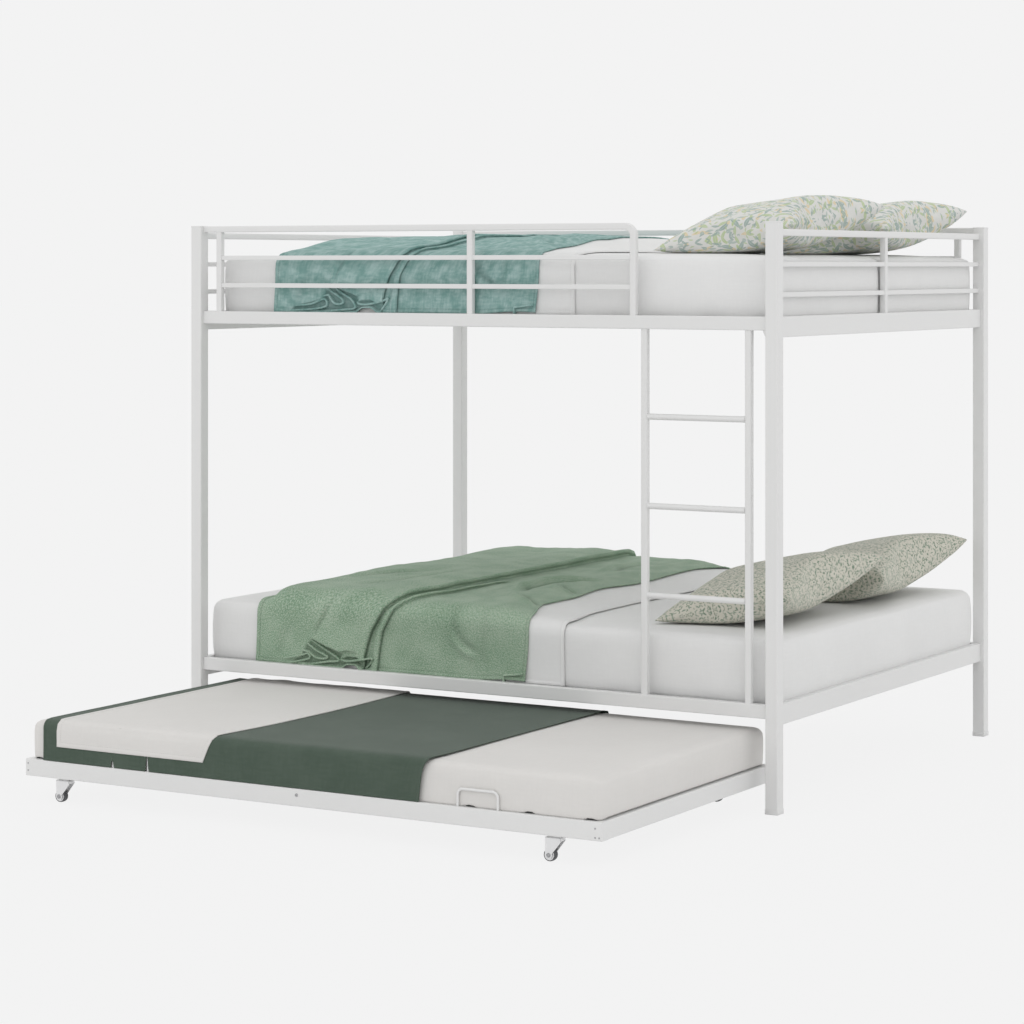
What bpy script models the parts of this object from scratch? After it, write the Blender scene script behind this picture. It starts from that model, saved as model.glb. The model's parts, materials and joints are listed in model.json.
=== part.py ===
"""Metal bunk bed with two bunks of one size and a pull-out trundle on casters.

Every sub-part is one closed solid, named after the piece it stands for. Lengths
are metres and +Z is up. The bed is laid out from its front left floor corner:
X runs along the bed, Y runs from the front to the back, Z is the height above
the floor. `placed` then moves that corner so that the origin lies on the floor
under the middle of the whole object, trundle included.
"""
import math

import bmesh
import bpy
from mathutils import Matrix, Vector

# Whole bed
BED_LENGTH = 2.086
BED_WIDTH = 1.644
FIT_GAP = 0.0003

# Posts: square tube with a closed top and a plastic foot pressed in below
POST_SIDE = 0.040
POST_WALL = 0.0015
POST_CORNER = 0.003
POST_TOP_PLATE = 0.003
FOOT_FLANGE = 0.006
FOOT_PLUG_LENGTH = 0.022

# Rails between the posts
RAIL_DEPTH = 0.025
RAIL_SETBACK = 0.0125
RAIL_WALL = 0.0015
RAIL_CORNER = 0.0025
SIDE_RAIL_HEIGHT = 0.040
END_RAIL_HEIGHT = 0.060
LOWER_RAIL_TOP = 0.311
UPPER_RAIL_TOP = 1.427
LEDGE_DEPTH = 0.020
LEDGE_THICKNESS = 0.003
LEDGE_RISE = 0.0035

# Slat decks inside the rails
SLAT_COUNT = 13
SLAT_WIDTH = 0.045
SLAT_THICKNESS = 0.015
CENTRE_BEAM_WIDTH = 0.040
DECK_END_MARGIN = 0.030

# Guard rails round the upper bunk
GUARD_HEIGHT = 0.273
GUARD_TUBE = 0.020
GUARD_CORNER = 0.002
GUARD_BEND_RADIUS = 0.040
GUARD_BAR = 0.0145
GUARD_BAR_PITCH = 0.088
GUARD_FIRST_BAR_DROP = 0.092
GUARD_BAR_COUNT = 2
GUARD_UPRIGHT_GAP = 0.049
END_GUARD_DROP = 0.0205
LADDER_GATE = 0.4285

# Ladder between the front rails
LADDER_POST_GAP = 0.052
LADDER_WIDTH = 0.359
LADDER_TUBE = 0.020
RUNG_DIAMETER = 0.018
RUNG_SINK = 0.006
RUNG_COUNT = 3
FIRST_RUNG_HEIGHT = 0.6035
RUNG_PITCH = 0.2628
ROUND_SIDES = 16

# Trundle frame
TRUNDLE_WIDTH = 1.020
TRUNDLE_LEFT_GAP = 0.0255
TRUNDLE_RIGHT_GAP = 0.0435
TRUNDLE_PULLED_OUT = 0.892
TRUNDLE_RAIL_HEIGHT = 0.050
TRUNDLE_RAIL_DEPTH = 0.038
TRUNDLE_FLOOR_GAP = 0.070
TRUNDLE_SLAT_COUNT = 11
TRUNDLE_SLAT_WIDTH = 0.030
TRUNDLE_SLAT_THICKNESS = 0.005
TRUNDLE_SLAT_END_MARGIN = 0.0255
TRUNDLE_SLAT_SETBACK = 0.0135
TRUNDLE_BEAM_WIDTH = 0.030
LOOP_ROD_DIAMETER = 0.007
LOOP_WIDTH = 0.126
LOOP_HEIGHT = 0.049
LOOP_BEND_RADIUS = 0.016
LOOP_END_GAP = 0.383
LOOP_SETBACK = 0.0095
LOOP_BEND_STEPS = 4
LOOP_ROD_SIDES = 8

# Casters
CASTER_END_GAP = 0.1415
CASTER_TRAIL = 0.022
CASTER_PAD_SIDE = 0.037
CASTER_PAD_THICKNESS = 0.002
WHEEL_RADIUS = 0.0175
WHEEL_WIDTH = 0.020
WHEEL_CHAMFER = 0.0015
WHEEL_BORE = 0.0034
WHEEL_SIDES = 24
AXLE_RADIUS = 0.0028
AXLE_SINK = 0.001
FORK_CHEEK = 0.002
FORK_SIDE_CLEARANCE = 0.001
FORK_PLATE = 0.0025
FORK_HEAD_GAP = 0.0025
FORK_BACK_REACH = 0.010
FORK_FRONT_REACH = 0.0155
FORK_NOSE_HEIGHT = 0.008
FORK_HUB_RADIUS = 0.010
FORK_HUB_STEPS = 5
KING_PIN_RADIUS = 0.005

# Mattresses
MATTRESS_SIDE_GAP = 0.064
MATTRESS_END_GAP = 0.0385
MATTRESS_THICKNESS = 0.196
MATTRESS_CROWN = 0.006
MATTRESS_EDGE = 0.022
MATTRESS_CORNER = 0.030
MATTRESS_BULGE = 0.003
MATTRESS_END_BULGE = 0.012
PAD_END_BULGE = 0.005
TRUNDLE_PAD_END_BULGE = 0.003
MATTRESS_CROWN_INSET_SHARE = 0.2
MATTRESS_CROWN_RISE_SHARE = 0.6
PAD_FOOT_END_GAP = 0.090
PAD_HEAD_END_GAP = 0.042
PAD_THICKNESS = 0.186
PAD_MIDDLE_GAP = 0.008
TRUNDLE_PAD_END_GAP = 0.010
TRUNDLE_PAD_FRONT_GAP = 0.016
TRUNDLE_PAD_BACK_GAP = 0.014
TRUNDLE_PAD_THICKNESS = 0.107
TRUNDLE_PAD_CROWN = 0.003
TRUNDLE_PAD_EDGE = 0.024

# Duvets and throws over the bunks
DRAPE_GAP = 0.0005
DRAPE_HEM_GAP = 0.003
DRAPE_BACK_DROP = 0.070
DUVET_EDGE = 0.009
DUVET_LOFT = 0.034
DUVET_PLUMP_SHARE = 0.89
DUVET_FULLNESS_SHARE = 0.6
THROW_THICKNESS = 0.0055
THROW_RIDGE = 0.016
THROW_RIDGE_WIDTH = 0.055
THROW_PLEAT = 0.0085
THROW_RIDGE_HEM_SHARE = 0.42
THROW_RIDGE_LEAN_SHARE = 0.10
THROW_RIDGE_DRIFT_SHARE = 0.08
THROW_PLEAT_WAVES_SHARE = 12.0
THROW_PLEAT_MIDDLE_SHARE = 0.30
THROW_PLEAT_REACH_SHARE = 0.12
THROW_SWELL = 0.007
THROW_SWELL_ACROSS_SHARE = 7.0
THROW_SWELL_ALONG_SHARE = 9.0
THROW_COLUMNS = 22
LOWER_THROW_START = 0.225
LOWER_THROW_HEAD_GAP = 0.866
UPPER_THROW_START = 0.296
UPPER_THROW_HEAD_GAP = 0.828
DUVET_TUCK_COLUMNS = 1
DUVET_TURN_COLUMNS = 3

# Trundle bedding
BLANKET_START = 0.066
BLANKET_HEAD_GAP = 0.561
BLANKET_THICKNESS = 0.0022
BLANKET_BEND = 0.024
BLANKET_COLUMNS = 14
SHEET_START = 0.106
SHEET_LENGTH = 0.580
SHEET_THICKNESS = 0.0025
SHEET_FRONT_DROP = 0.072
SHEET_COLUMNS = 8
TRUNDLE_DRAPE_BACK_DROP = 0.040
TRUNDLE_RIPPLE = 0.002
TRUNDLE_RIPPLE_PITCH = 0.571
TRUNDLE_RIPPLE_TURN_SHARE = 5.0

# Pillows
PILLOW_WIDTH = 0.455
PILLOW_LOFT_ABOVE = 0.098
PILLOW_LOFT_BELOW = 0.074
PILLOW_DRAW_IN_SHARE = 0.07
PILLOW_FULLNESS_SHARE = 0.62
PILLOW_HEAD_GAP = 0.054
PILLOW_FRONT_GAP = 0.136
PILLOW_BACK_GAP = 0.006
PILLOW_BETWEEN_GAP = 0.006
PILLOW_HEAD_TILT_DEG = 12.0
PILLOW_BACK_TILT_DEG = 6.5
PILLOW_COLUMNS = 8
PILLOW_ROWS = 10

# Steps of one drape's section, from the front hem round to the back hem
FRONT_ROWS = 3
BEND_ROWS = 2
TOP_ROWS = 6
BACK_ROWS = 1

# Values worked out from the sizes above
POST_HEIGHT = UPPER_RAIL_TOP + GUARD_HEIGHT
RAIL_INNER = RAIL_SETBACK + RAIL_DEPTH
GUARD_SETBACK = RAIL_SETBACK + (RAIL_DEPTH - GUARD_TUBE) / 2
WHOLE_DEPTH = BED_WIDTH + TRUNDLE_PULLED_OUT
TRUNDLE_LENGTH = BED_LENGTH - 2 * POST_SIDE - TRUNDLE_LEFT_GAP - TRUNDLE_RIGHT_GAP
TRUNDLE_LEFT = POST_SIDE + TRUNDLE_LEFT_GAP
TRUNDLE_RIGHT = TRUNDLE_LEFT + TRUNDLE_LENGTH
TRUNDLE_MIDDLE = (TRUNDLE_LEFT + TRUNDLE_RIGHT) / 2
TRUNDLE_FRONT = -TRUNDLE_PULLED_OUT
TRUNDLE_BACK = TRUNDLE_FRONT + TRUNDLE_WIDTH
TRUNDLE_RAIL_TOP = TRUNDLE_FLOOR_GAP + TRUNDLE_RAIL_HEIGHT
TRUNDLE_DECK_TOP = TRUNDLE_RAIL_TOP + FIT_GAP + TRUNDLE_SLAT_THICKNESS
LOOP_SPACING = TRUNDLE_LENGTH - 2 * LOOP_END_GAP
CASTER_SPACING = TRUNDLE_LENGTH - 2 * CASTER_END_GAP
CASTER_PAD_BOTTOM = TRUNDLE_FLOOR_GAP - CASTER_PAD_THICKNESS
FORK_TOP = CASTER_PAD_BOTTOM - FORK_HEAD_GAP
FORK_INNER_HALF = WHEEL_WIDTH / 2 + FORK_SIDE_CLEARANCE
FORK_OUTER_HALF = FORK_INNER_HALF + FORK_CHEEK
LOWER_THROW_LENGTH = BED_LENGTH - LOWER_THROW_START - LOWER_THROW_HEAD_GAP
UPPER_THROW_LENGTH = BED_LENGTH - UPPER_THROW_START - UPPER_THROW_HEAD_GAP
BLANKET_LENGTH = TRUNDLE_LENGTH - BLANKET_START - BLANKET_HEAD_GAP
PILLOW_ROOM = BED_WIDTH - 2 * MATTRESS_SIDE_GAP - PILLOW_FRONT_GAP - PILLOW_BACK_GAP
PILLOW_LENGTH = (PILLOW_ROOM - PILLOW_BETWEEN_GAP) / 2


class Finish:
    """Colour, roughness and metallic value of one material."""

    def __init__(self, name, colour, roughness, metallic=0.0):
        self.name = name
        self.colour = colour
        self.roughness = roughness
        self.metallic = metallic

    def material(self):
        """Return the Blender material of this finish, made on first use."""
        found = bpy.data.materials.get(self.name)
        if found:
            return found
        made = bpy.data.materials.new(self.name)
        made.use_nodes = True
        shader = made.node_tree.nodes["Principled BSDF"]
        shader.inputs["Base Color"].default_value = (*self.colour, 1.0)
        shader.inputs["Roughness"].default_value = self.roughness
        shader.inputs["Metallic"].default_value = self.metallic
        made.diffuse_color = (*self.colour, 1.0)
        return made


POWDER_WHITE = Finish("powder_white", (0.80, 0.80, 0.79), 0.38)
FOOT_PLASTIC = Finish("foot_plastic", (0.74, 0.74, 0.73), 0.50)
CASTER_STEEL = Finish("caster_steel", (0.72, 0.73, 0.74), 0.28, 0.85)
WHEEL_GREY = Finish("wheel_grey", (0.34, 0.35, 0.36), 0.55)
LINEN_WHITE = Finish("linen_white", (0.72, 0.71, 0.70), 0.90)
LINEN_CREAM = Finish("linen_cream", (0.66, 0.64, 0.61), 0.90)
SAGE_WEAVE = Finish("sage_weave", (0.20, 0.34, 0.23), 0.95)
TEAL_WEAVE = Finish("teal_weave", (0.21, 0.38, 0.34), 0.95)
DARK_GREEN = Finish("dark_green", (0.09, 0.13, 0.10), 0.90)
LEAF_PRINT = Finish("leaf_print", (0.62, 0.66, 0.56), 0.90)
SPECKLE_PRINT = Finish("speckle_print", (0.58, 0.58, 0.48), 0.90)


def clear_scene():
    """Remove every object of the scene."""
    for old in list(bpy.data.objects):
        bpy.data.objects.remove(old, do_unlink=True)


def placed(x, y, z):
    """Return the world place of a point given from the bed's front left corner."""
    return Vector((x - BED_LENGTH / 2, y + TRUNDLE_PULLED_OUT - WHOLE_DEPTH / 2, z))


def finish_object(name, mesh_builder, finish, origin=None, parent=None, smooth=True):
    """Turn a bmesh, in bed coordinates, into a named object.

    The object's origin goes to `origin`, given in bed coordinates too.
    """
    anchor = placed(*(origin or (BED_LENGTH / 2, BED_WIDTH / 2, 0.0)))
    shift = placed(0.0, 0.0, 0.0) - anchor
    bmesh.ops.translate(mesh_builder, verts=mesh_builder.verts, vec=shift)
    bmesh.ops.recalc_face_normals(mesh_builder, faces=mesh_builder.faces)
    mesh = bpy.data.meshes.new(name)
    mesh_builder.to_mesh(mesh)
    mesh_builder.free()
    mesh.materials.append(finish.material())
    if smooth:
        mesh.shade_smooth()
        mesh.set_sharp_from_angle(angle=math.radians(35.0))
    made = bpy.data.objects.new(name, mesh)
    bpy.context.scene.collection.objects.link(made)
    made.location = anchor
    if parent:
        made.parent = parent
        made.location = anchor - world_place(parent)
    return made


def world_place(item):
    """Return an object's place with its parents' places added."""
    place = item.location.copy()
    while item.parent:
        item = item.parent
        place += item.location
    return place


def empty_at(name, origin):
    """Return an empty that carries moving pieces."""
    made = bpy.data.objects.new(name, None)
    bpy.context.scene.collection.objects.link(made)
    made.location = placed(*origin)
    return made


def rounded_rectangle(width, height, radius, steps=2):
    """Return the outline of a rectangle about zero with round corners."""
    points = []
    corners = ((1, 1, 0.0), (-1, 1, 0.5), (-1, -1, 1.0), (1, -1, 1.5))
    for side_x, side_y, turn in corners:
        centre_x = side_x * (width / 2 - radius)
        centre_y = side_y * (height / 2 - radius)
        for step in range(steps + 1):
            angle = math.pi * (turn + 0.5 * step / steps)
            points.append((centre_x + radius * math.cos(angle), centre_y + radius * math.sin(angle)))
    return points


def along(axis, first, second, distance):
    """Return a 3D point from a section's two coordinates and a distance on the axis."""
    if axis == "X":
        return (distance, first, second)
    if axis == "Y":
        return (first, distance, second)
    return (first, second, distance)


def add_ring(builder, outline, axis, distance):
    """Add one ring of vertices and return it."""
    return [builder.verts.new(along(axis, a, b, distance)) for a, b in outline]


def bridge(builder, ring, other):
    """Join two rings of equal length with quads."""
    count = len(ring)
    for index in range(count):
        after = (index + 1) % count
        builder.faces.new((ring[index], ring[after], other[after], other[index]))


def add_prism(builder, outline, axis, start, end):
    """Add a solid prism of an outline to a bmesh."""
    low = add_ring(builder, outline, axis, start)
    high = add_ring(builder, outline, axis, end)
    bridge(builder, low, high)
    builder.faces.new(low)
    builder.faces.new(high)


def add_box(builder, low, high):
    """Add a plain box between two corners to a bmesh."""
    outline = ((low[0], low[1]), (high[0], low[1]), (high[0], high[1]), (low[0], high[1]))
    add_prism(builder, outline, "Z", low[2], high[2])


def shifted(outline, first, second):
    """Return an outline moved in its own plane."""
    return [(a + first, b + second) for a, b in outline]


def bar(name, axis, centre, section, radius, start, end, finish, parent=None, origin=None):
    """Make a solid bar with round edges along an axis."""
    builder = bmesh.new()
    outline = shifted(rounded_rectangle(section[0], section[1], radius), *centre)
    add_prism(builder, outline, axis, start, end)
    return finish_object(name, builder, finish, origin, parent)


def add_tube(builder, axis, outer, inner, start, end, closed_from=None):
    """Add a hollow tube; with `closed_from` its bore stops there, short of the end."""
    outer_low = add_ring(builder, outer, axis, start)
    outer_high = add_ring(builder, outer, axis, end)
    inner_low = add_ring(builder, inner, axis, start)
    inner_high = add_ring(builder, inner, axis, closed_from or end)
    bridge(builder, outer_low, outer_high)
    bridge(builder, inner_low, inner_high)
    bridge(builder, outer_low, inner_low)
    if closed_from:
        builder.faces.new(outer_high)
        builder.faces.new(inner_high)
    else:
        bridge(builder, outer_high, inner_high)


def combine(target, tool_builder, operation):
    """Cut or join a bmesh, in bed coordinates, into an object for good."""
    tool = finish_object(target.name + "_tool", tool_builder, POWDER_WHITE, smooth=False)
    cut = target.modifiers.new("combine", "BOOLEAN")
    cut.operation = operation
    cut.solver = "EXACT"
    cut.object = tool
    bpy.context.view_layer.update()
    graph = bpy.context.evaluated_depsgraph_get()
    result = bpy.data.meshes.new_from_object(target.evaluated_get(graph))
    result.name = target.name
    target.modifiers.remove(cut)
    target.data = result
    tool_mesh = tool.data
    bpy.data.objects.remove(tool, do_unlink=True)
    bpy.data.meshes.remove(tool_mesh)
    result.shade_smooth()
    result.set_sharp_from_angle(angle=math.radians(35.0))
    return target


# Posts and feet

def post_corners():
    """Yield each post's name and the outer floor corner's X and Y."""
    for depth_name, near_y in (("front", 0.0), ("back", BED_WIDTH - POST_SIDE)):
        for side_name, near_x in (("left", 0.0), ("right", BED_LENGTH - POST_SIDE)):
            yield f"{depth_name}_{side_name}", near_x + POST_SIDE / 2, near_y + POST_SIDE / 2


def make_posts():
    """Make the four posts and their feet."""
    bore_side = POST_SIDE - 2 * POST_WALL
    plug_side = bore_side - 2 * FIT_GAP
    for place_name, x, y in post_corners():
        outer = shifted(rounded_rectangle(POST_SIDE, POST_SIDE, POST_CORNER), x, y)
        inner = shifted(rounded_rectangle(bore_side, bore_side, POST_CORNER - POST_WALL), x, y)
        builder = bmesh.new()
        add_tube(builder, "Z", outer, inner, FOOT_FLANGE + FIT_GAP, POST_HEIGHT,
                 closed_from=POST_HEIGHT - POST_TOP_PLATE)
        finish_object("post_" + place_name, builder, POWDER_WHITE)
        plug = shifted(rounded_rectangle(plug_side, plug_side, POST_CORNER - POST_WALL), x, y)
        builder = bmesh.new()
        floor_ring = add_ring(builder, outer, "Z", 0.0)
        flange_ring = add_ring(builder, outer, "Z", FOOT_FLANGE)
        neck_ring = add_ring(builder, plug, "Z", FOOT_FLANGE)
        plug_ring = add_ring(builder, plug, "Z", FOOT_FLANGE + FOOT_PLUG_LENGTH)
        builder.faces.new(floor_ring)
        bridge(builder, floor_ring, flange_ring)
        bridge(builder, flange_ring, neck_ring)
        bridge(builder, neck_ring, plug_ring)
        builder.faces.new(plug_ring)
        finish_object("foot_" + place_name, builder, FOOT_PLASTIC)


# Rails and slat decks

def side_rail_outline(rail_bottom, outer_y, inward):
    """Return a side rail's outer section: a box with a ledge on its inner side."""
    inner_y = outer_y + inward * RAIL_DEPTH
    ledge_y = inner_y + inward * LEDGE_DEPTH
    rail_top = rail_bottom + SIDE_RAIL_HEIGHT
    ledge_low = rail_bottom + LEDGE_RISE
    ledge_high = ledge_low + LEDGE_THICKNESS
    chamfer = RAIL_CORNER * (1 - math.sqrt(0.5))
    soft_y = inward * RAIL_CORNER
    return [
        (outer_y, rail_bottom + RAIL_CORNER), (outer_y + inward * chamfer, rail_bottom + chamfer),
        (outer_y + soft_y, rail_bottom), (inner_y, rail_bottom),
        (inner_y, ledge_low), (ledge_y, ledge_low), (ledge_y, ledge_high), (inner_y, ledge_high),
        (inner_y, rail_top - RAIL_CORNER), (inner_y - inward * chamfer, rail_top - chamfer),
        (inner_y - soft_y, rail_top), (outer_y + soft_y, rail_top),
        (outer_y + inward * chamfer, rail_top - chamfer), (outer_y, rail_top - RAIL_CORNER),
    ]


def side_rail_bore(rail_bottom, outer_y, inward):
    """Return the bore of a side rail, point for point beside its outer section."""
    near_y = outer_y + inward * RAIL_WALL
    far_y = outer_y + inward * (RAIL_DEPTH - RAIL_WALL)
    low = rail_bottom + RAIL_WALL
    high = rail_bottom + SIDE_RAIL_HEIGHT - RAIL_WALL
    ledge_low = rail_bottom + LEDGE_RISE
    ledge_high = ledge_low + LEDGE_THICKNESS
    third = (ledge_high - ledge_low) / 3
    corner = RAIL_CORNER - RAIL_WALL
    chamfer = corner * (1 - math.sqrt(0.5))
    soft_y = inward * corner
    return [
        (near_y, low + corner), (near_y + inward * chamfer, low + chamfer),
        (near_y + soft_y, low), (far_y, low),
        (far_y, ledge_low), (far_y, ledge_low + third), (far_y, ledge_high - third), (far_y, ledge_high),
        (far_y, high - corner), (far_y - inward * chamfer, high - chamfer),
        (far_y - soft_y, high), (near_y + soft_y, high),
        (near_y + inward * chamfer, high - chamfer), (near_y, high - corner),
    ]


def make_side_rail(level_name, rail_top, side_name):
    """Make one long rail with the ledge that its slats lie on."""
    outer_y, inward = {"front": (RAIL_SETBACK, 1), "back": (BED_WIDTH - RAIL_SETBACK, -1)}[side_name]
    rail_bottom = rail_top - SIDE_RAIL_HEIGHT
    builder = bmesh.new()
    add_tube(builder, "X", side_rail_outline(rail_bottom, outer_y, inward),
             side_rail_bore(rail_bottom, outer_y, inward),
             POST_SIDE + FIT_GAP, BED_LENGTH - POST_SIDE - FIT_GAP)
    finish_object(f"side_rail_{side_name}_{level_name}", builder, POWDER_WHITE)


def make_end_rail(level_name, rail_top, side_name):
    """Make one short rail between a front and a back post."""
    middle_x = {"left": RAIL_SETBACK + RAIL_DEPTH / 2,
                "right": BED_LENGTH - RAIL_SETBACK - RAIL_DEPTH / 2}[side_name]
    middle_z = rail_top - END_RAIL_HEIGHT / 2
    outer = rounded_rectangle(RAIL_DEPTH, END_RAIL_HEIGHT, RAIL_CORNER)
    inner = rounded_rectangle(RAIL_DEPTH - 2 * RAIL_WALL, END_RAIL_HEIGHT - 2 * RAIL_WALL,
                              RAIL_CORNER - RAIL_WALL)
    builder = bmesh.new()
    add_tube(builder, "Y", shifted(outer, middle_x, middle_z), shifted(inner, middle_x, middle_z),
             POST_SIDE + FIT_GAP, BED_WIDTH - POST_SIDE - FIT_GAP)
    finish_object(f"end_rail_{side_name}_{level_name}", builder, POWDER_WHITE)


def cell_plate(x_cuts, y_cuts, is_filled, low, high):
    """Return a flat plate made of the filled cells of a grid.

    Cells share their vertices, so slats and the beam that crosses them are one
    closed body.
    """
    builder = bmesh.new()
    corners = {}

    def corner(column, row, height):
        key = (column, row, height)
        if key not in corners:
            corners[key] = builder.verts.new((x_cuts[column], y_cuts[row], height))
        return corners[key]

    def filled(column, row):
        inside = 0 <= column < len(x_cuts) - 1 and 0 <= row < len(y_cuts) - 1
        return inside and is_filled(column, row)

    steps = (((0, -1), (0, 0), (1, 0)), ((1, 0), (1, 0), (1, 1)),
             ((0, 1), (1, 1), (0, 1)), ((-1, 0), (0, 1), (0, 0)))
    for column in range(len(x_cuts) - 1):
        for row in range(len(y_cuts) - 1):
            if not filled(column, row):
                continue
            square = ((0, 0), (1, 0), (1, 1), (0, 1))
            for height in (low, high):
                builder.faces.new([corner(column + dx, row + dy, height) for dx, dy in square])
            for (out_x, out_y), (ax, ay), (bx, by) in steps:
                if filled(column + out_x, row + out_y):
                    continue
                builder.faces.new((corner(column + ax, row + ay, low), corner(column + bx, row + by, low),
                                   corner(column + bx, row + by, high), corner(column + ax, row + ay, high)))
    return builder


def slat_cuts(start, end, count, width):
    """Return the X cuts of evenly spaced slats, two for each."""
    pitch = (end - start - width) / (count - 1)
    cuts = []
    for index in range(count):
        cuts += [start + index * pitch, start + index * pitch + width]
    return cuts


def make_slat_deck(name, x_cuts, y_low, y_high, beam_width, top, thickness, parent=None):
    """Make slats across a bed, welded to one beam along its middle."""
    middle = (y_low + y_high) / 2
    y_cuts = (y_low, middle - beam_width / 2, middle + beam_width / 2, y_high)
    builder = cell_plate(x_cuts, y_cuts, lambda column, row: column % 2 == 0 or row == 1,
                         top - thickness, top)
    finish_object(name, builder, POWDER_WHITE, parent=parent, smooth=False)


def deck_top(rail_top):
    """Return the height of the slats' upper faces inside a bunk's rails."""
    return rail_top - SIDE_RAIL_HEIGHT + LEDGE_RISE + LEDGE_THICKNESS + FIT_GAP + SLAT_THICKNESS


def make_bunk_frame(level_name, rail_top):
    """Make one bunk's four rails and its slats."""
    for side_name in ("front", "back"):
        make_side_rail(level_name, rail_top, side_name)
    for side_name in ("left", "right"):
        make_end_rail(level_name, rail_top, side_name)
    cuts = slat_cuts(RAIL_INNER + DECK_END_MARGIN, BED_LENGTH - RAIL_INNER - DECK_END_MARGIN,
                     SLAT_COUNT, SLAT_WIDTH)
    make_slat_deck("slat_deck_" + level_name, cuts, RAIL_INNER + FIT_GAP,
                   BED_WIDTH - RAIL_INNER - FIT_GAP, CENTRE_BEAM_WIDTH, deck_top(rail_top),
                   SLAT_THICKNESS)


# Guard rails

def bar_heights(guard_top):
    """Return the middle heights of a guard's thin bars."""
    first = guard_top - GUARD_TUBE / 2 - GUARD_FIRST_BAR_DROP
    return [first - index * GUARD_BAR_PITCH for index in range(GUARD_BAR_COUNT)]


def comb_outline(start, end, uprights, top, foot):
    """Return the outline of a top tube with uprights hanging from it."""
    under = top - GUARD_TUBE
    points = [(start, top), (start, under)]
    for left in uprights:
        right = left + GUARD_TUBE
        points += [(left, under), (left, foot), (right, foot), (right, under)]
    points += [(end, under), (end, top)]
    return points


def bent_end(end, top, foot):
    """Return the outline of the guard's end, where its top tube bends down."""
    inner_end = end - GUARD_TUBE
    inner_radius = GUARD_BEND_RADIUS - GUARD_TUBE
    bend_x = end - GUARD_BEND_RADIUS
    bend_z = top - GUARD_BEND_RADIUS
    steps = 5
    inner = []
    outer = []
    for step in range(steps + 1):
        angle = math.pi / 2 * (1 - step / steps)
        inner.append((bend_x + inner_radius * math.cos(angle), bend_z + inner_radius * math.sin(angle)))
        outer.append((bend_x + GUARD_BEND_RADIUS * math.cos(angle),
                      bend_z + GUARD_BEND_RADIUS * math.sin(angle)))
    return inner + [(inner_end, foot), (end, foot)] + outer[::-1]


def pierce_for_bars(comb, axis, cross_middle, heights, start, end):
    """Cut the square holes that the thin bars run through."""
    hole = GUARD_BAR + 2 * FIT_GAP
    builder = bmesh.new()
    for height in heights:
        outline = shifted(rounded_rectangle(hole, hole, GUARD_CORNER), cross_middle, height)
        add_prism(builder, outline, axis, start, end)
    combine(comb, builder, "DIFFERENCE")


def make_guard_bars(name, axis, cross_middle, heights, start, end):
    """Make the thin bars of one guard."""
    for label, height in zip(("upper", "lower"), heights):
        bar(f"{name}_bar_{label}", axis, (cross_middle, height), (GUARD_BAR, GUARD_BAR), GUARD_CORNER,
            start, end, POWDER_WHITE)


def make_front_guard():
    """Make the front guard, which stops short of the right post for the ladder."""
    start = POST_SIDE + FIT_GAP
    end = BED_LENGTH - POST_SIDE - LADDER_GATE
    foot = UPPER_RAIL_TOP + FIT_GAP
    left = POST_SIDE + GUARD_UPRIGHT_GAP
    middle = BED_LENGTH / 2 - GUARD_TUBE / 2
    points = comb_outline(start, end, (left, middle), POST_HEIGHT, foot)[:-2]
    points += bent_end(end, POST_HEIGHT, foot)
    builder = bmesh.new()
    add_prism(builder, points, "Y", GUARD_SETBACK, GUARD_SETBACK + GUARD_TUBE)
    comb = finish_object("guard_front_frame", builder, POWDER_WHITE)
    heights = bar_heights(POST_HEIGHT)
    cross_middle = GUARD_SETBACK + GUARD_TUBE / 2
    bar_start = left + GUARD_TUBE + FIT_GAP
    bar_end = end - GUARD_TUBE - FIT_GAP
    pierce_for_bars(comb, "X", cross_middle, heights, middle - GUARD_TUBE, middle + 2 * GUARD_TUBE)
    make_guard_bars("guard_front", "X", cross_middle, heights, bar_start, bar_end)


def make_back_guard():
    """Make the back guard, which runs from post to post."""
    start = POST_SIDE + FIT_GAP
    end = BED_LENGTH - POST_SIDE - FIT_GAP
    left = POST_SIDE + GUARD_UPRIGHT_GAP
    right = BED_LENGTH - POST_SIDE - GUARD_UPRIGHT_GAP - GUARD_TUBE
    middle = BED_LENGTH / 2 - GUARD_TUBE / 2
    low_y = BED_WIDTH - GUARD_SETBACK - GUARD_TUBE
    points = comb_outline(start, end, (left, middle, right), POST_HEIGHT, UPPER_RAIL_TOP + FIT_GAP)
    builder = bmesh.new()
    add_prism(builder, points, "Y", low_y, low_y + GUARD_TUBE)
    comb = finish_object("guard_back_frame", builder, POWDER_WHITE)
    heights = bar_heights(POST_HEIGHT)
    cross_middle = low_y + GUARD_TUBE / 2
    pierce_for_bars(comb, "X", cross_middle, heights, middle - GUARD_TUBE, middle + 2 * GUARD_TUBE)
    make_guard_bars("guard_back", "X", cross_middle, heights, left + GUARD_TUBE + FIT_GAP, right - FIT_GAP)


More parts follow.
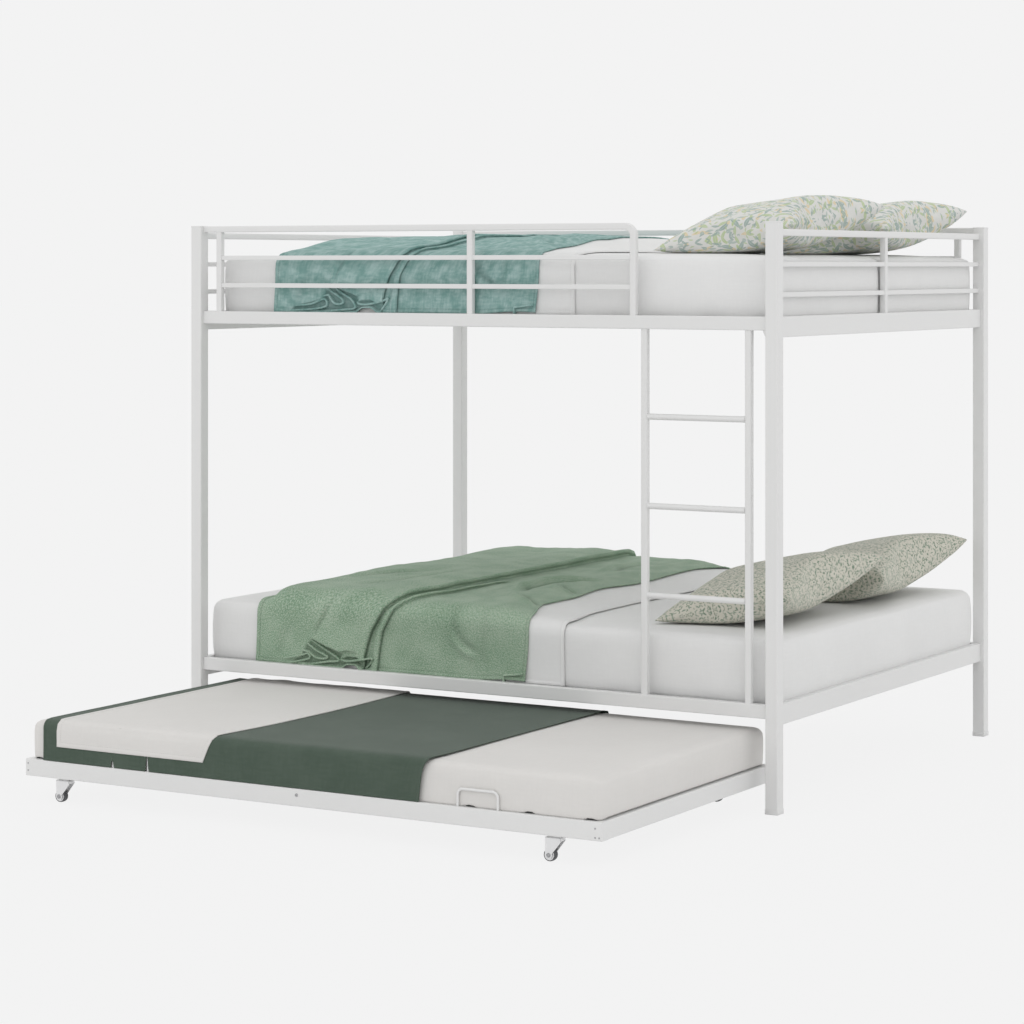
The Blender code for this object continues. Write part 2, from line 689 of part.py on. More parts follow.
def make_end_guard(side_name):
    """Make one short guard, a step lower than the posts' tops."""
    low_x = {"left": GUARD_SETBACK, "right": BED_LENGTH - GUARD_SETBACK - GUARD_TUBE}[side_name]
    start = POST_SIDE + FIT_GAP
    end = BED_WIDTH - POST_SIDE - FIT_GAP
    middle = BED_WIDTH / 2 - GUARD_TUBE / 2
    top = POST_HEIGHT - END_GUARD_DROP
    outline = comb_outline(start, end, (middle,), top, UPPER_RAIL_TOP + FIT_GAP)
    builder = bmesh.new()
    add_prism(builder, outline, "X", low_x, low_x + GUARD_TUBE)
    comb = finish_object(f"guard_{side_name}_frame", builder, POWDER_WHITE)
    heights = bar_heights(top)
    cross_middle = low_x + GUARD_TUBE / 2
    pierce_for_bars(comb, "Y", cross_middle, heights, middle - GUARD_TUBE, middle + 2 * GUARD_TUBE)
    make_guard_bars("guard_" + side_name, "Y", cross_middle, heights, start, end)


# Ladder

def make_ladder():
    """Make the welded ladder: two uprights and the rungs between them."""
    right = BED_LENGTH - POST_SIDE - LADDER_POST_GAP - LADDER_TUBE / 2
    left = right - LADDER_WIDTH + LADDER_TUBE
    middle_y = GUARD_SETBACK + GUARD_TUBE / 2
    section = rounded_rectangle(LADDER_TUBE, LADDER_TUBE, GUARD_CORNER)
    foot = LOWER_RAIL_TOP + FIT_GAP
    head = UPPER_RAIL_TOP - SIDE_RAIL_HEIGHT - FIT_GAP
    builder = bmesh.new()
    for x in (left, right):
        add_prism(builder, shifted(section, x, middle_y), "Z", foot, head)
    ladder = finish_object("ladder", builder, POWDER_WHITE)
    rungs = bmesh.new()
    rung_start = left + LADDER_TUBE / 2 - RUNG_SINK
    rung_end = right - LADDER_TUBE / 2 + RUNG_SINK
    for index in range(RUNG_COUNT):
        height = FIRST_RUNG_HEIGHT + index * RUNG_PITCH
        outline = shifted(circle_outline(RUNG_DIAMETER / 2, ROUND_SIDES), middle_y, height)
        add_prism(rungs, outline, "X", rung_start, rung_end)
    combine(ladder, rungs, "UNION")


def circle_outline(radius, sides):
    """Return a regular outline whose corners lie on a circle, one of them straight below."""
    turn = 2 * math.pi / sides
    return [(radius * math.sin(index * turn), -radius * math.cos(index * turn)) for index in range(sides)]


# Trundle frame

def make_trundle_frame(carrier):
    """Make the trundle's four rails, its slats and the two mattress loops."""
    outer_size = (TRUNDLE_RAIL_DEPTH, TRUNDLE_RAIL_HEIGHT)
    inner_size = tuple(size - 2 * RAIL_WALL for size in outer_size)
    outer = rounded_rectangle(*outer_size, RAIL_CORNER)
    inner = rounded_rectangle(*inner_size, RAIL_CORNER - RAIL_WALL)
    middle_z = TRUNDLE_FLOOR_GAP + TRUNDLE_RAIL_HEIGHT / 2
    for side_name, middle_y in (("front", TRUNDLE_FRONT + TRUNDLE_RAIL_DEPTH / 2),
                                ("back", TRUNDLE_BACK - TRUNDLE_RAIL_DEPTH / 2)):
        builder = bmesh.new()
        add_tube(builder, "X", shifted(outer, middle_y, middle_z), shifted(inner, middle_y, middle_z),
                 TRUNDLE_LEFT, TRUNDLE_RIGHT)
        rail = finish_object("trundle_rail_" + side_name, builder, POWDER_WHITE, parent=carrier)
        pads = bmesh.new()
        half = CASTER_PAD_SIDE / 2
        for x in caster_columns().values():
            add_box(pads, (x - half, middle_y - half, CASTER_PAD_BOTTOM),
                    (x + half, middle_y + half, TRUNDLE_FLOOR_GAP + RAIL_WALL / 2))
        combine(rail, pads, "UNION")
    for side_name, middle_x in (("left", TRUNDLE_LEFT + TRUNDLE_RAIL_DEPTH / 2),
                                ("right", TRUNDLE_RIGHT - TRUNDLE_RAIL_DEPTH / 2)):
        builder = bmesh.new()
        add_tube(builder, "Y", shifted(outer, middle_x, middle_z), shifted(inner, middle_x, middle_z),
                 TRUNDLE_FRONT + TRUNDLE_RAIL_DEPTH + FIT_GAP, TRUNDLE_BACK - TRUNDLE_RAIL_DEPTH - FIT_GAP)
        finish_object("trundle_end_" + side_name, builder, POWDER_WHITE, parent=carrier)
    cuts = slat_cuts(TRUNDLE_LEFT + TRUNDLE_SLAT_END_MARGIN, TRUNDLE_RIGHT - TRUNDLE_SLAT_END_MARGIN,
                     TRUNDLE_SLAT_COUNT, TRUNDLE_SLAT_WIDTH)
    make_slat_deck("trundle_slats", cuts, TRUNDLE_FRONT + TRUNDLE_SLAT_SETBACK,
                   TRUNDLE_BACK - TRUNDLE_SLAT_SETBACK, TRUNDLE_BEAM_WIDTH, TRUNDLE_DECK_TOP,
                   TRUNDLE_SLAT_THICKNESS, parent=carrier)
    for side_name, side in (("left", -1), ("right", 1)):
        make_loop("trundle_loop_" + side_name, TRUNDLE_MIDDLE + side * LOOP_SPACING / 2, carrier)


def loop_path(middle_x):
    """Return the centre line of one bent rod as X and Z pairs, from foot to foot."""
    half = LOOP_WIDTH / 2
    foot = TRUNDLE_RAIL_TOP + FIT_GAP
    bend_z = foot + LOOP_HEIGHT - LOOP_BEND_RADIUS
    bend_x = half - LOOP_BEND_RADIUS
    rise = []
    for step in range(LOOP_BEND_STEPS + 1):
        angle = math.pi / 2 * step / LOOP_BEND_STEPS
        rise.append((-bend_x - LOOP_BEND_RADIUS * math.cos(angle),
                     bend_z + LOOP_BEND_RADIUS * math.sin(angle)))
    left_side = [(-half, foot)] + rise
    right_side = [(-x, z) for x, z in reversed(left_side)]
    return [(middle_x + x, z) for x, z in left_side + right_side]


def make_loop(name, middle_x, carrier):
    """Make one upright loop of rod that keeps the trundle's mattress in place."""
    path = loop_path(middle_x)
    middle_y = TRUNDLE_FRONT + LOOP_SETBACK
    builder = bmesh.new()
    rings = []
    for index, (x, z) in enumerate(path):
        before = path[max(index - 1, 0)]
        after = path[min(index + 1, len(path) - 1)]
        heading = Vector((after[0] - before[0], 0.0, after[1] - before[1])).normalized()
        if index in (0, len(path) - 1):
            heading = Vector((0.0, 0.0, 1.0 if index == 0 else -1.0))
        side = Vector((0.0, 1.0, 0.0)).cross(heading)
        ring = []
        for a, b in circle_outline(LOOP_ROD_DIAMETER / 2, LOOP_ROD_SIDES):
            ring.append(builder.verts.new(Vector((x, middle_y, z)) + side * a + Vector((0.0, b, 0.0))))
        rings.append(ring)
    for ring, other in zip(rings, rings[1:]):
        bridge(builder, ring, other)
    builder.faces.new(rings[0])
    builder.faces.new(rings[-1])
    finish_object(name, builder, POWDER_WHITE, parent=carrier)


# Casters

def caster_columns():
    """Return the X of the left and of the right swivel axes."""
    return {"left": TRUNDLE_MIDDLE - CASTER_SPACING / 2, "right": TRUNDLE_MIDDLE + CASTER_SPACING / 2}


def fork_outline(x):
    """Return a fork's side view about a swivel axis at X."""
    hub_x = x - CASTER_TRAIL
    back = hub_x - FORK_BACK_REACH
    nose = x + FORK_FRONT_REACH
    points = [(back, FORK_TOP), (nose, FORK_TOP), (nose, FORK_TOP - FORK_NOSE_HEIGHT)]
    for step in range(FORK_HUB_STEPS + 1):
        angle = math.radians(20.0 - 200.0 * step / FORK_HUB_STEPS)
        points.append((hub_x + FORK_HUB_RADIUS * math.cos(angle),
                       WHEEL_RADIUS + FORK_HUB_RADIUS * math.sin(angle)))
    return points


def make_caster(name, x, y, carrier):
    """Make a fork that swivels under its pad and the wheel that spins in it."""
    builder = bmesh.new()
    add_prism(builder, fork_outline(x), "Y", y - FORK_OUTER_HALF, y + FORK_OUTER_HALF)
    fork = finish_object(name + "_fork", builder, CASTER_STEEL, origin=(x, y, FORK_TOP), parent=carrier)
    slot = bmesh.new()
    reach = CASTER_TRAIL + FORK_BACK_REACH + FORK_FRONT_REACH + WHEEL_RADIUS
    add_box(slot, (x - reach, y - FORK_INNER_HALF, -FORK_TOP),
            (x + reach, y + FORK_INNER_HALF, FORK_TOP - FORK_PLATE))
    combine(fork, slot, "DIFFERENCE")
    axle = bmesh.new()
    half = FORK_INNER_HALF + AXLE_SINK
    add_prism(axle, shifted(circle_outline(AXLE_RADIUS, ROUND_SIDES), x - CASTER_TRAIL, WHEEL_RADIUS),
              "Y", y - half, y + half)
    combine(fork, axle, "UNION")
    pin = bmesh.new()
    add_prism(pin, shifted(circle_outline(KING_PIN_RADIUS, ROUND_SIDES), x, y), "Z",
              FORK_TOP - FORK_PLATE / 2, CASTER_PAD_BOTTOM - FIT_GAP)
    combine(fork, pin, "UNION")
    make_wheel(name + "_wheel", x - CASTER_TRAIL, y, fork)


def make_wheel(name, x, y, fork):
    """Make one wheel by turning its profile about the axle."""
    half = WHEEL_WIDTH / 2
    profile = ((-half, WHEEL_BORE), (-half, WHEEL_RADIUS - WHEEL_CHAMFER),
               (-half + WHEEL_CHAMFER, WHEEL_RADIUS), (half - WHEEL_CHAMFER, WHEEL_RADIUS),
               (half, WHEEL_RADIUS - WHEEL_CHAMFER), (half, WHEEL_BORE))
    builder = bmesh.new()
    rings = []
    for across, radius in profile:
        outline = shifted(circle_outline(radius, WHEEL_SIDES), x, WHEEL_RADIUS)
        rings.append(add_ring(builder, outline, "Y", y + across))
    for ring, other in zip(rings, rings[1:] + rings[:1]):
        bridge(builder, ring, other)
    finish_object(name, builder, WHEEL_GREY, origin=(x, y, WHEEL_RADIUS), parent=fork)


def make_casters(carrier):
    """Make the four casters under the trundle's long rails."""
    rows = {"front": TRUNDLE_FRONT + TRUNDLE_RAIL_DEPTH / 2, "back": TRUNDLE_BACK - TRUNDLE_RAIL_DEPTH / 2}
    for row_name, y in rows.items():
        for column_name, x in caster_columns().items():
            make_caster(f"caster_{row_name}_{column_name}", x, y, carrier)


# Mattresses

def make_pad(name, low, high, edge, crown, end_bulge, finish, parent=None):
    """Make a mattress with round edges, sides and ends that swell a little and a crowned top."""
    middle = ((low[0] + high[0]) / 2, (low[1] + high[1]) / 2)
    length = high[0] - low[0]
    width = high[1] - low[1]
    drawn = edge * (1 - math.sqrt(0.5))
    crown_inset = width * MATTRESS_CROWN_INSET_SHARE
    half_way = (low[2] + high[2]) / 2
    levels = (
        (edge, low[2]), (drawn, low[2] + drawn), (0.0, low[2] + edge), (-MATTRESS_BULGE, half_way),
        (0.0, high[2] - edge), (drawn, high[2] - drawn), (edge, high[2]),
        (crown_inset / 2, high[2] + crown * MATTRESS_CROWN_RISE_SHARE), (crown_inset, high[2] + crown),
    )
    builder = bmesh.new()
    rings = []
    for inset, height in levels:
        radius = max(MATTRESS_CORNER - inset, MATTRESS_CORNER / 3)
        end_inset = -end_bulge if height == half_way else inset
        outline = rounded_rectangle(length - 2 * end_inset, width - 2 * inset, radius, steps=3)
        rings.append(add_ring(builder, shifted(outline, *middle), "Z", height))
    for ring, other in zip(rings, rings[1:]):
        bridge(builder, ring, other)
    builder.faces.new(rings[0])
    builder.faces.new(rings[-1])
    finish_object(name, builder, finish, parent=parent)


def pad_top(rail_top, thickness):
    """Return the height of a bunk mattress's crown."""
    return deck_top(rail_top) + FIT_GAP + thickness + MATTRESS_CROWN


def make_mattresses(carrier):
    """Make the wide lower mattress, the upper pair and the trundle's own."""
    base = deck_top(LOWER_RAIL_TOP) + FIT_GAP
    make_pad("mattress_lower", (MATTRESS_END_GAP, MATTRESS_SIDE_GAP, base),
             (BED_LENGTH - MATTRESS_END_GAP, BED_WIDTH - MATTRESS_SIDE_GAP, base + MATTRESS_THICKNESS),
             MATTRESS_EDGE, MATTRESS_CROWN, MATTRESS_END_BULGE, LINEN_WHITE)
    base = deck_top(UPPER_RAIL_TOP) + FIT_GAP
    middle = BED_WIDTH / 2
    spans = {"front": (MATTRESS_SIDE_GAP, middle - PAD_MIDDLE_GAP / 2),
             "back": (middle + PAD_MIDDLE_GAP / 2, BED_WIDTH - MATTRESS_SIDE_GAP)}
    for side_name, (low_y, high_y) in spans.items():
        make_pad("mattress_upper_" + side_name, (PAD_FOOT_END_GAP, low_y, base),
                 (BED_LENGTH - PAD_HEAD_END_GAP, high_y, base + PAD_THICKNESS),
                 MATTRESS_EDGE, MATTRESS_CROWN, PAD_END_BULGE, LINEN_WHITE)
    base = TRUNDLE_DECK_TOP + FIT_GAP
    make_pad("mattress_trundle",
             (TRUNDLE_LEFT + TRUNDLE_PAD_END_GAP, TRUNDLE_FRONT + TRUNDLE_PAD_FRONT_GAP, base),
             (TRUNDLE_RIGHT - TRUNDLE_PAD_END_GAP, TRUNDLE_BACK - TRUNDLE_PAD_BACK_GAP,
              base + TRUNDLE_PAD_THICKNESS),
             TRUNDLE_PAD_EDGE, TRUNDLE_PAD_CROWN, TRUNDLE_PAD_END_BULGE, LINEN_CREAM, parent=carrier)


# Draped bedding

class Drape:
    """The line that cloth follows over a mattress, from the front hem to the back one."""

    def __init__(self, front, back, top, bend, front_hem, back_hem):
        self.front = front
        self.back = back
        self.top = top
        self.bend = bend
        self.front_hem = front_hem
        self.back_hem = back_hem

    def stations(self):
        """Return (y, z, outward y, outward z, share of the way) along the line."""
        found = []
        shoulder = self.top - self.bend
        for row in range(FRONT_ROWS):
            height = self.front_hem + (shoulder - self.front_hem) * row / FRONT_ROWS
            found.append((self.front, height, -1.0, 0.0))
        for row in range(BEND_ROWS):
            angle = math.pi / 2 * row / BEND_ROWS
            found.append((self.front + self.bend * (1 - math.cos(angle)),
                          shoulder + self.bend * math.sin(angle), -math.cos(angle), math.sin(angle)))
        for row in range(TOP_ROWS):
            span = self.back - self.front - 2 * self.bend
            found.append((self.front + self.bend + span * row / TOP_ROWS, self.top, 0.0, 1.0))
        for row in range(BEND_ROWS):
            angle = math.pi / 2 * row / BEND_ROWS
            found.append((self.back - self.bend * (1 - math.sin(angle)),
                          shoulder + self.bend * math.cos(angle), math.sin(angle), math.cos(angle)))
        for row in range(BACK_ROWS + 1):
            height = shoulder + (self.back_hem - shoulder) * row / BACK_ROWS
            found.append((self.back, height, 1.0, 0.0))
        last = len(found) - 1
        return [(*station, index / last) for index, station in enumerate(found)]

    def cloth(self, columns, under, over):
        """Return a closed cloth whose two faces stand off the line by two functions.

        Both functions take a column's X and a station's share of the way.
        """
        builder = bmesh.new()
        stations = self.stations()
        faces = []
        for height_of in (under, over):
            grid = []
            for x in columns:
                row = []
                for y, z, out_y, out_z, share in stations:
                    off = height_of(x, share)
                    row.append(builder.verts.new((x, y + out_y * off, z + out_z * off)))
                grid.append(row)
            faces.append(grid)
        inner, outer = faces
        for grid in faces:
            for left, right in zip(grid, grid[1:]):
                for index in range(len(stations) - 1):
                    builder.faces.new((left[index], right[index], right[index + 1]))
                    builder.faces.new((left[index], right[index + 1], left[index + 1]))
        for side in (0, -1):
            for index in range(len(stations) - 1):
                builder.faces.new((inner[side][index], inner[side][index + 1],
                                   outer[side][index + 1], outer[side][index]))
        for index in (0, -1):
            for low, high, low_out, high_out in zip(inner, inner[1:], outer, outer[1:]):
                builder.faces.new((low[index], high[index], high_out[index], low_out[index]))
        return builder


ROW_TOTAL = FRONT_ROWS + 2 * BEND_ROWS + TOP_ROWS + BACK_ROWS
SHOULDER_SHARE = (FRONT_ROWS + BEND_ROWS) / ROW_TOTAL
FAR_SHARE = (FRONT_ROWS + BEND_ROWS + TOP_ROWS) / ROW_TOTAL


def on_top(share):
    """Return 1 well on the flat top and 0 on the hanging sides."""
    reach = (FAR_SHARE - SHOULDER_SHARE) / TOP_ROWS
    rise = (share - SHOULDER_SHARE) / reach
    fall = (FAR_SHARE - share) / reach
    return max(0.0, min(1.0, rise, fall))


def duvet_height(x, share, start, end):
    """Return a duvet's thickness: plump under the throw, thin where it is turned down."""
    along_share = (x - start) / (end - start)
    plump = 0.0
    if 0.0 < along_share < DUVET_PLUMP_SHARE:
        plump = math.sin(math.pi * along_share / DUVET_PLUMP_SHARE) ** DUVET_FULLNESS_SHARE
    return DUVET_EDGE + (DUVET_LOFT - DUVET_EDGE) * plump * on_top(share)


def throw_fold(x, share, start, length):
    """Return how far a throw's folds lift it: a long ridge, pleats by the hem and soft swells."""
    across = (x - start) / length
    ridge_share = (THROW_RIDGE_HEM_SHARE + THROW_RIDGE_LEAN_SHARE * min(1.0, share / SHOULDER_SHARE)
                   + THROW_RIDGE_DRIFT_SHARE * share)
    ridge_place = start + length * ridge_share
    ridge = math.exp(-((x - ridge_place) / THROW_RIDGE_WIDTH) ** 2)
    height = THROW_RIDGE if SHOULDER_SHARE <= share <= FAR_SHARE else THROW_PLEAT
    hanging = max(0.0, 1.0 - share / SHOULDER_SHARE)
    pleats = THROW_PLEAT * hanging * max(0.0, math.sin(math.pi * across * THROW_PLEAT_WAVES_SHARE))
    pleats *= math.exp(-((across - THROW_PLEAT_MIDDLE_SHARE) / THROW_PLEAT_REACH_SHARE) ** 2)
    turn = THROW_SWELL_ACROSS_SHARE * across + THROW_SWELL_ALONG_SHARE * share
    swell = THROW_SWELL * on_top(share) * (1 + math.sin(turn)) / 2
    return max(height * ridge, pleats) + swell


def make_bunk_bedding(level_name, rail_top, thickness, throw_start, throw_length, throw_finish):
    """Make one bunk's white duvet and the throw that lies over it."""
    drape = Drape(MATTRESS_SIDE_GAP - MATTRESS_BULGE - FIT_GAP, BED_WIDTH - MATTRESS_SIDE_GAP
                  + MATTRESS_BULGE + FIT_GAP, pad_top(rail_top, thickness) + FIT_GAP, MATTRESS_EDGE,
                  rail_top + DRAPE_HEM_GAP, pad_top(rail_top, thickness) - DRAPE_BACK_DROP)
    pitch = throw_length / THROW_COLUMNS
    throw_columns = [throw_start + pitch * index for index in range(THROW_COLUMNS + 1)]
    duvet_columns = [throw_start + pitch * index for index in
                     range(DUVET_TUCK_COLUMNS, THROW_COLUMNS + DUVET_TURN_COLUMNS + 1)]
    duvet_start = duvet_columns[0]
    duvet_end = duvet_columns[-1]

    def duvet_over(x, share):
        return duvet_height(x, share, duvet_start, duvet_end)

    def throw_under(x, share):
        under = duvet_over(x, share) if x > duvet_start - pitch / 2 else 0.0
        lift = throw_fold(x, share, throw_start, throw_length) if x > duvet_start else 0.0
        return under + DRAPE_GAP + lift

    builder = drape.cloth(duvet_columns, lambda x, share: 0.0, duvet_over)
    finish_object("duvet_" + level_name, builder, LINEN_WHITE)
    builder = drape.cloth(throw_columns, throw_under,
                          lambda x, share: throw_under(x, share) + THROW_THICKNESS)
    finish_object("throw_" + level_name, builder, throw_finish)


def make_trundle_bedding(carrier):
    """Make the trundle's dark blanket and the pale sheet turned back over it."""
    pad_crown = TRUNDLE_DECK_TOP + FIT_GAP + TRUNDLE_PAD_THICKNESS + TRUNDLE_PAD_CROWN
    blanket_front = TRUNDLE_FRONT + LOOP_SETBACK - LOOP_ROD_DIAMETER / 2 - FIT_GAP
    back = TRUNDLE_BACK - TRUNDLE_PAD_BACK_GAP + MATTRESS_BULGE + FIT_GAP
    top = pad_crown + FIT_GAP
    blanket_line = Drape(blanket_front, back, top, BLANKET_BEND, TRUNDLE_RAIL_TOP + FIT_GAP,
                         top - TRUNDLE_DRAPE_BACK_DROP)

    def ripple(x, share):
        turn = 2 * math.pi * x / TRUNDLE_RIPPLE_PITCH + TRUNDLE_RIPPLE_TURN_SHARE * share
        return TRUNDLE_RIPPLE * on_top(share) * (1 + math.sin(turn)) / 2

    def columns(start, length, count):
        return [TRUNDLE_LEFT + start + length * index / count for index in range(count + 1)]

    builder = blanket_line.cloth(columns(BLANKET_START, BLANKET_LENGTH, BLANKET_COLUMNS),
                                 lambda x, share: 0.0, lambda x, share: BLANKET_THICKNESS)
    finish_object("trundle_blanket", builder, DARK_GREEN, parent=carrier)
    layer = BLANKET_THICKNESS + FIT_GAP
    sheet_line = Drape(blanket_front - layer, back + layer, top + layer, BLANKET_BEND + layer,
                       top + layer - SHEET_FRONT_DROP, top + layer - TRUNDLE_DRAPE_BACK_DROP)
    builder = sheet_line.cloth(columns(SHEET_START, SHEET_LENGTH, SHEET_COLUMNS), lambda x, share: 0.0,
                               lambda x, share: SHEET_THICKNESS + ripple(x, share))
    finish_object("trundle_sheet", builder, LINEN_CREAM, parent=carrier)


# Pillows

def pillow_mesh():
    """Return a pillow about zero: pointed corners, drawn-in sides and a full middle."""
    builder = bmesh.new()
    half_width = PILLOW_WIDTH / 2
    half_length = PILLOW_LENGTH / 2
    rims = {}

    def spread(share):
        return math.sin(math.pi / 2 * share)

    def vertex(column, row, loft):
        a = spread(2 * column / PILLOW_COLUMNS - 1)
        b = spread(2 * row / PILLOW_ROWS - 1)
        on_rim = column in (0, PILLOW_COLUMNS) or row in (0, PILLOW_ROWS)
        if on_rim and (column, row) in rims:
            return rims[column, row]
        x = half_width * a * (1 - PILLOW_DRAW_IN_SHARE * (1 - b * b) * a * a)
        y = half_length * b * (1 - PILLOW_DRAW_IN_SHARE * (1 - a * a) * b * b)
        fullness = ((1 - a * a) * (1 - b * b)) ** PILLOW_FULLNESS_SHARE
        made = builder.verts.new((x, y, 0.0 if on_rim else loft * fullness))
        if on_rim:
            rims[column, row] = made
        return made

    for loft in (PILLOW_LOFT_ABOVE, -PILLOW_LOFT_BELOW):
        grid = [[vertex(column, row, loft) for row in range(PILLOW_ROWS + 1)]
                for column in range(PILLOW_COLUMNS + 1)]
        for column, (left, right) in enumerate(zip(grid, grid[1:])):
            for row in range(PILLOW_ROWS):
                if (column < PILLOW_COLUMNS / 2) != (row < PILLOW_ROWS / 2):
                    halves = ((left[row], right[row], left[row + 1]),
                              (right[row], right[row + 1], left[row + 1]))
                else:
                    halves = ((left[row], right[row], right[row + 1]),
                              (left[row], right[row + 1], left[row + 1]))
                for corners in halves:
                    builder.faces.new(corners)
    return builder


def make_pillow(name, near_y, rest_height, finish):
    """Lay one pillow by the head end, its head and back corners raised."""
    builder = pillow_mesh()
    tilt = Matrix.Rotation(math.radians(-PILLOW_HEAD_TILT_DEG), 4, "Y")
    lean = Matrix.Rotation(math.radians(PILLOW_BACK_TILT_DEG), 4, "X")
    bmesh.ops.transform(builder, matrix=lean @ tilt, verts=builder.verts)
    lowest = min(vertex.co.z for vertex in builder.verts)
    middle = Vector((BED_LENGTH - PILLOW_HEAD_GAP - PILLOW_WIDTH / 2, near_y + PILLOW_LENGTH / 2,
                     rest_height - lowest))
    bmesh.ops.translate(builder, verts=builder.verts, vec=middle)
    finish_object(name, builder, finish)


def make_pillows():
    """Make the front and the back pillow of each bunk."""
    tops = {"lower": (pad_top(LOWER_RAIL_TOP, MATTRESS_THICKNESS), SPECKLE_PRINT),
            "upper": (pad_top(UPPER_RAIL_TOP, PAD_THICKNESS), LEAF_PRINT)}
    front_y = MATTRESS_SIDE_GAP + PILLOW_FRONT_GAP
    back_y = front_y + PILLOW_LENGTH + PILLOW_BETWEEN_GAP
    for level_name, (height, finish) in tops.items():
        make_pillow(f"pillow_{level_name}_front", front_y, height + FIT_GAP, finish)
        make_pillow(f"pillow_{level_name}_back", back_y, height + FIT_GAP, finish)


def main():
    """Build the whole bed."""
    clear_scene()
    make_posts()
    make_bunk_frame("lower", LOWER_RAIL_TOP)
    make_bunk_frame("upper", UPPER_RAIL_TOP)
    make_front_guard()
    make_back_guard()
    make_end_guard("left")
    make_end_guard("right")
    make_ladder()
    carrier = empty_at("trundle_carrier", (TRUNDLE_MIDDLE, (TRUNDLE_FRONT + TRUNDLE_BACK) / 2, 0.0))
    make_trundle_frame(carrier)
    make_casters(carrier)
    make_mattresses(carrier)
    make_bunk_bedding("lower", LOWER_RAIL_TOP, MATTRESS_THICKNESS, LOWER_THROW_START,
                      LOWER_THROW_LENGTH, SAGE_WEAVE)
    make_bunk_bedding("upper", UPPER_RAIL_TOP, PAD_THICKNESS, UPPER_THROW_START,
                      UPPER_THROW_LENGTH, TEAL_WEAVE)
    make_trundle_bedding(carrier)
    make_pillows()


main()
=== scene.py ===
"""Looks of a white metal bunk bed, its trundle and its bedding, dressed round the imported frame.

Sizes are metres. The builders work from the bed's front left floor corner, as the
frame's own drawings do, and `Layout.world` moves their points into the shared frame.
"""
import json
import logging
import math
from dataclasses import dataclass
from enum import Enum
from itertools import product
from typing import Callable, Iterable, Sequence

import bmesh
import bpy
import numpy as np
from mathutils import Matrix, Vector, noise

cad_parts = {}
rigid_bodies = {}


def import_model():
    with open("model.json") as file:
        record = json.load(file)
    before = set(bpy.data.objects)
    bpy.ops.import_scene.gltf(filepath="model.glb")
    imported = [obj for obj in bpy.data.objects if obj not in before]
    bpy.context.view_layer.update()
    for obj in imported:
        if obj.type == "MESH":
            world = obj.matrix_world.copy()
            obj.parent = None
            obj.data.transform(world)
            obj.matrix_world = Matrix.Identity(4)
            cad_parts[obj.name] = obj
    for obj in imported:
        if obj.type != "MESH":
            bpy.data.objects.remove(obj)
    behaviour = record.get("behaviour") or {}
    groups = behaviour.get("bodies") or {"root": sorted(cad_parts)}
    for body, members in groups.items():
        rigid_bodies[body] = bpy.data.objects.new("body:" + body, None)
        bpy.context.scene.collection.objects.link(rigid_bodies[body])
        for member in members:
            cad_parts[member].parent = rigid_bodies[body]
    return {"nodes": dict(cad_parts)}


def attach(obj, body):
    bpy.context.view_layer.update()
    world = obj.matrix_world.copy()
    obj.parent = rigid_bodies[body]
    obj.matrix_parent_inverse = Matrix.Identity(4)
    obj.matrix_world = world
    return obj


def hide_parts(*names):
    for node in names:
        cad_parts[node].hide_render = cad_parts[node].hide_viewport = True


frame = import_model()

LOG = logging.getLogger("bunk_bed")
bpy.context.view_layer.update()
BED, TRUNDLE = "bed_frame", "trundle"
Points = np.ndarray
Pairs = Sequence[tuple[float, float]]
Triples = Sequence[tuple[float, float, float]]
Colour = tuple[float, float, float]
Node, Object, Socket, Tree = bpy.types.Node, bpy.types.Object, bpy.types.NodeSocket, bpy.types.NodeTree


@dataclass(frozen=True)
class Layout:
    """The bed's main sizes, shared by all its pieces."""

    length: float = 2.086
    width: float = 1.644
    height: float = 1.700
    post: float = 0.040
    rail_setback: float = 0.0125
    rail_depth: float = 0.025
    rail_height: float = 0.040
    lower_rail_top: float = 0.311
    upper_rail_top: float = 1.427
    guard_setback: float = 0.015
    tube: float = 0.020
    deck_rise: float = 0.0218
    trundle_front: float = -0.892
    trundle_back: float = 0.128
    trundle_left: float = 0.0655
    trundle_right: float = 2.0025
    trundle_top: float = 0.120
    mattress_gap: float = 0.064
    lower_top: float = 0.4948
    upper_top: float = 1.6008

    @property
    def trundle_middle(self) -> float:
        """Return the X of the trundle's middle."""
        return (self.trundle_left + self.trundle_right) / 2

    def world(self, points: Points) -> Points:
        """Return points moved from the bed's floor corner into the shared frame."""
        return np.asarray(points, float) - (self.length / 2, (self.width + self.trundle_front) / 2, 0.0)


BEDS = Layout()


# Node desks, shared shader groups and finishes


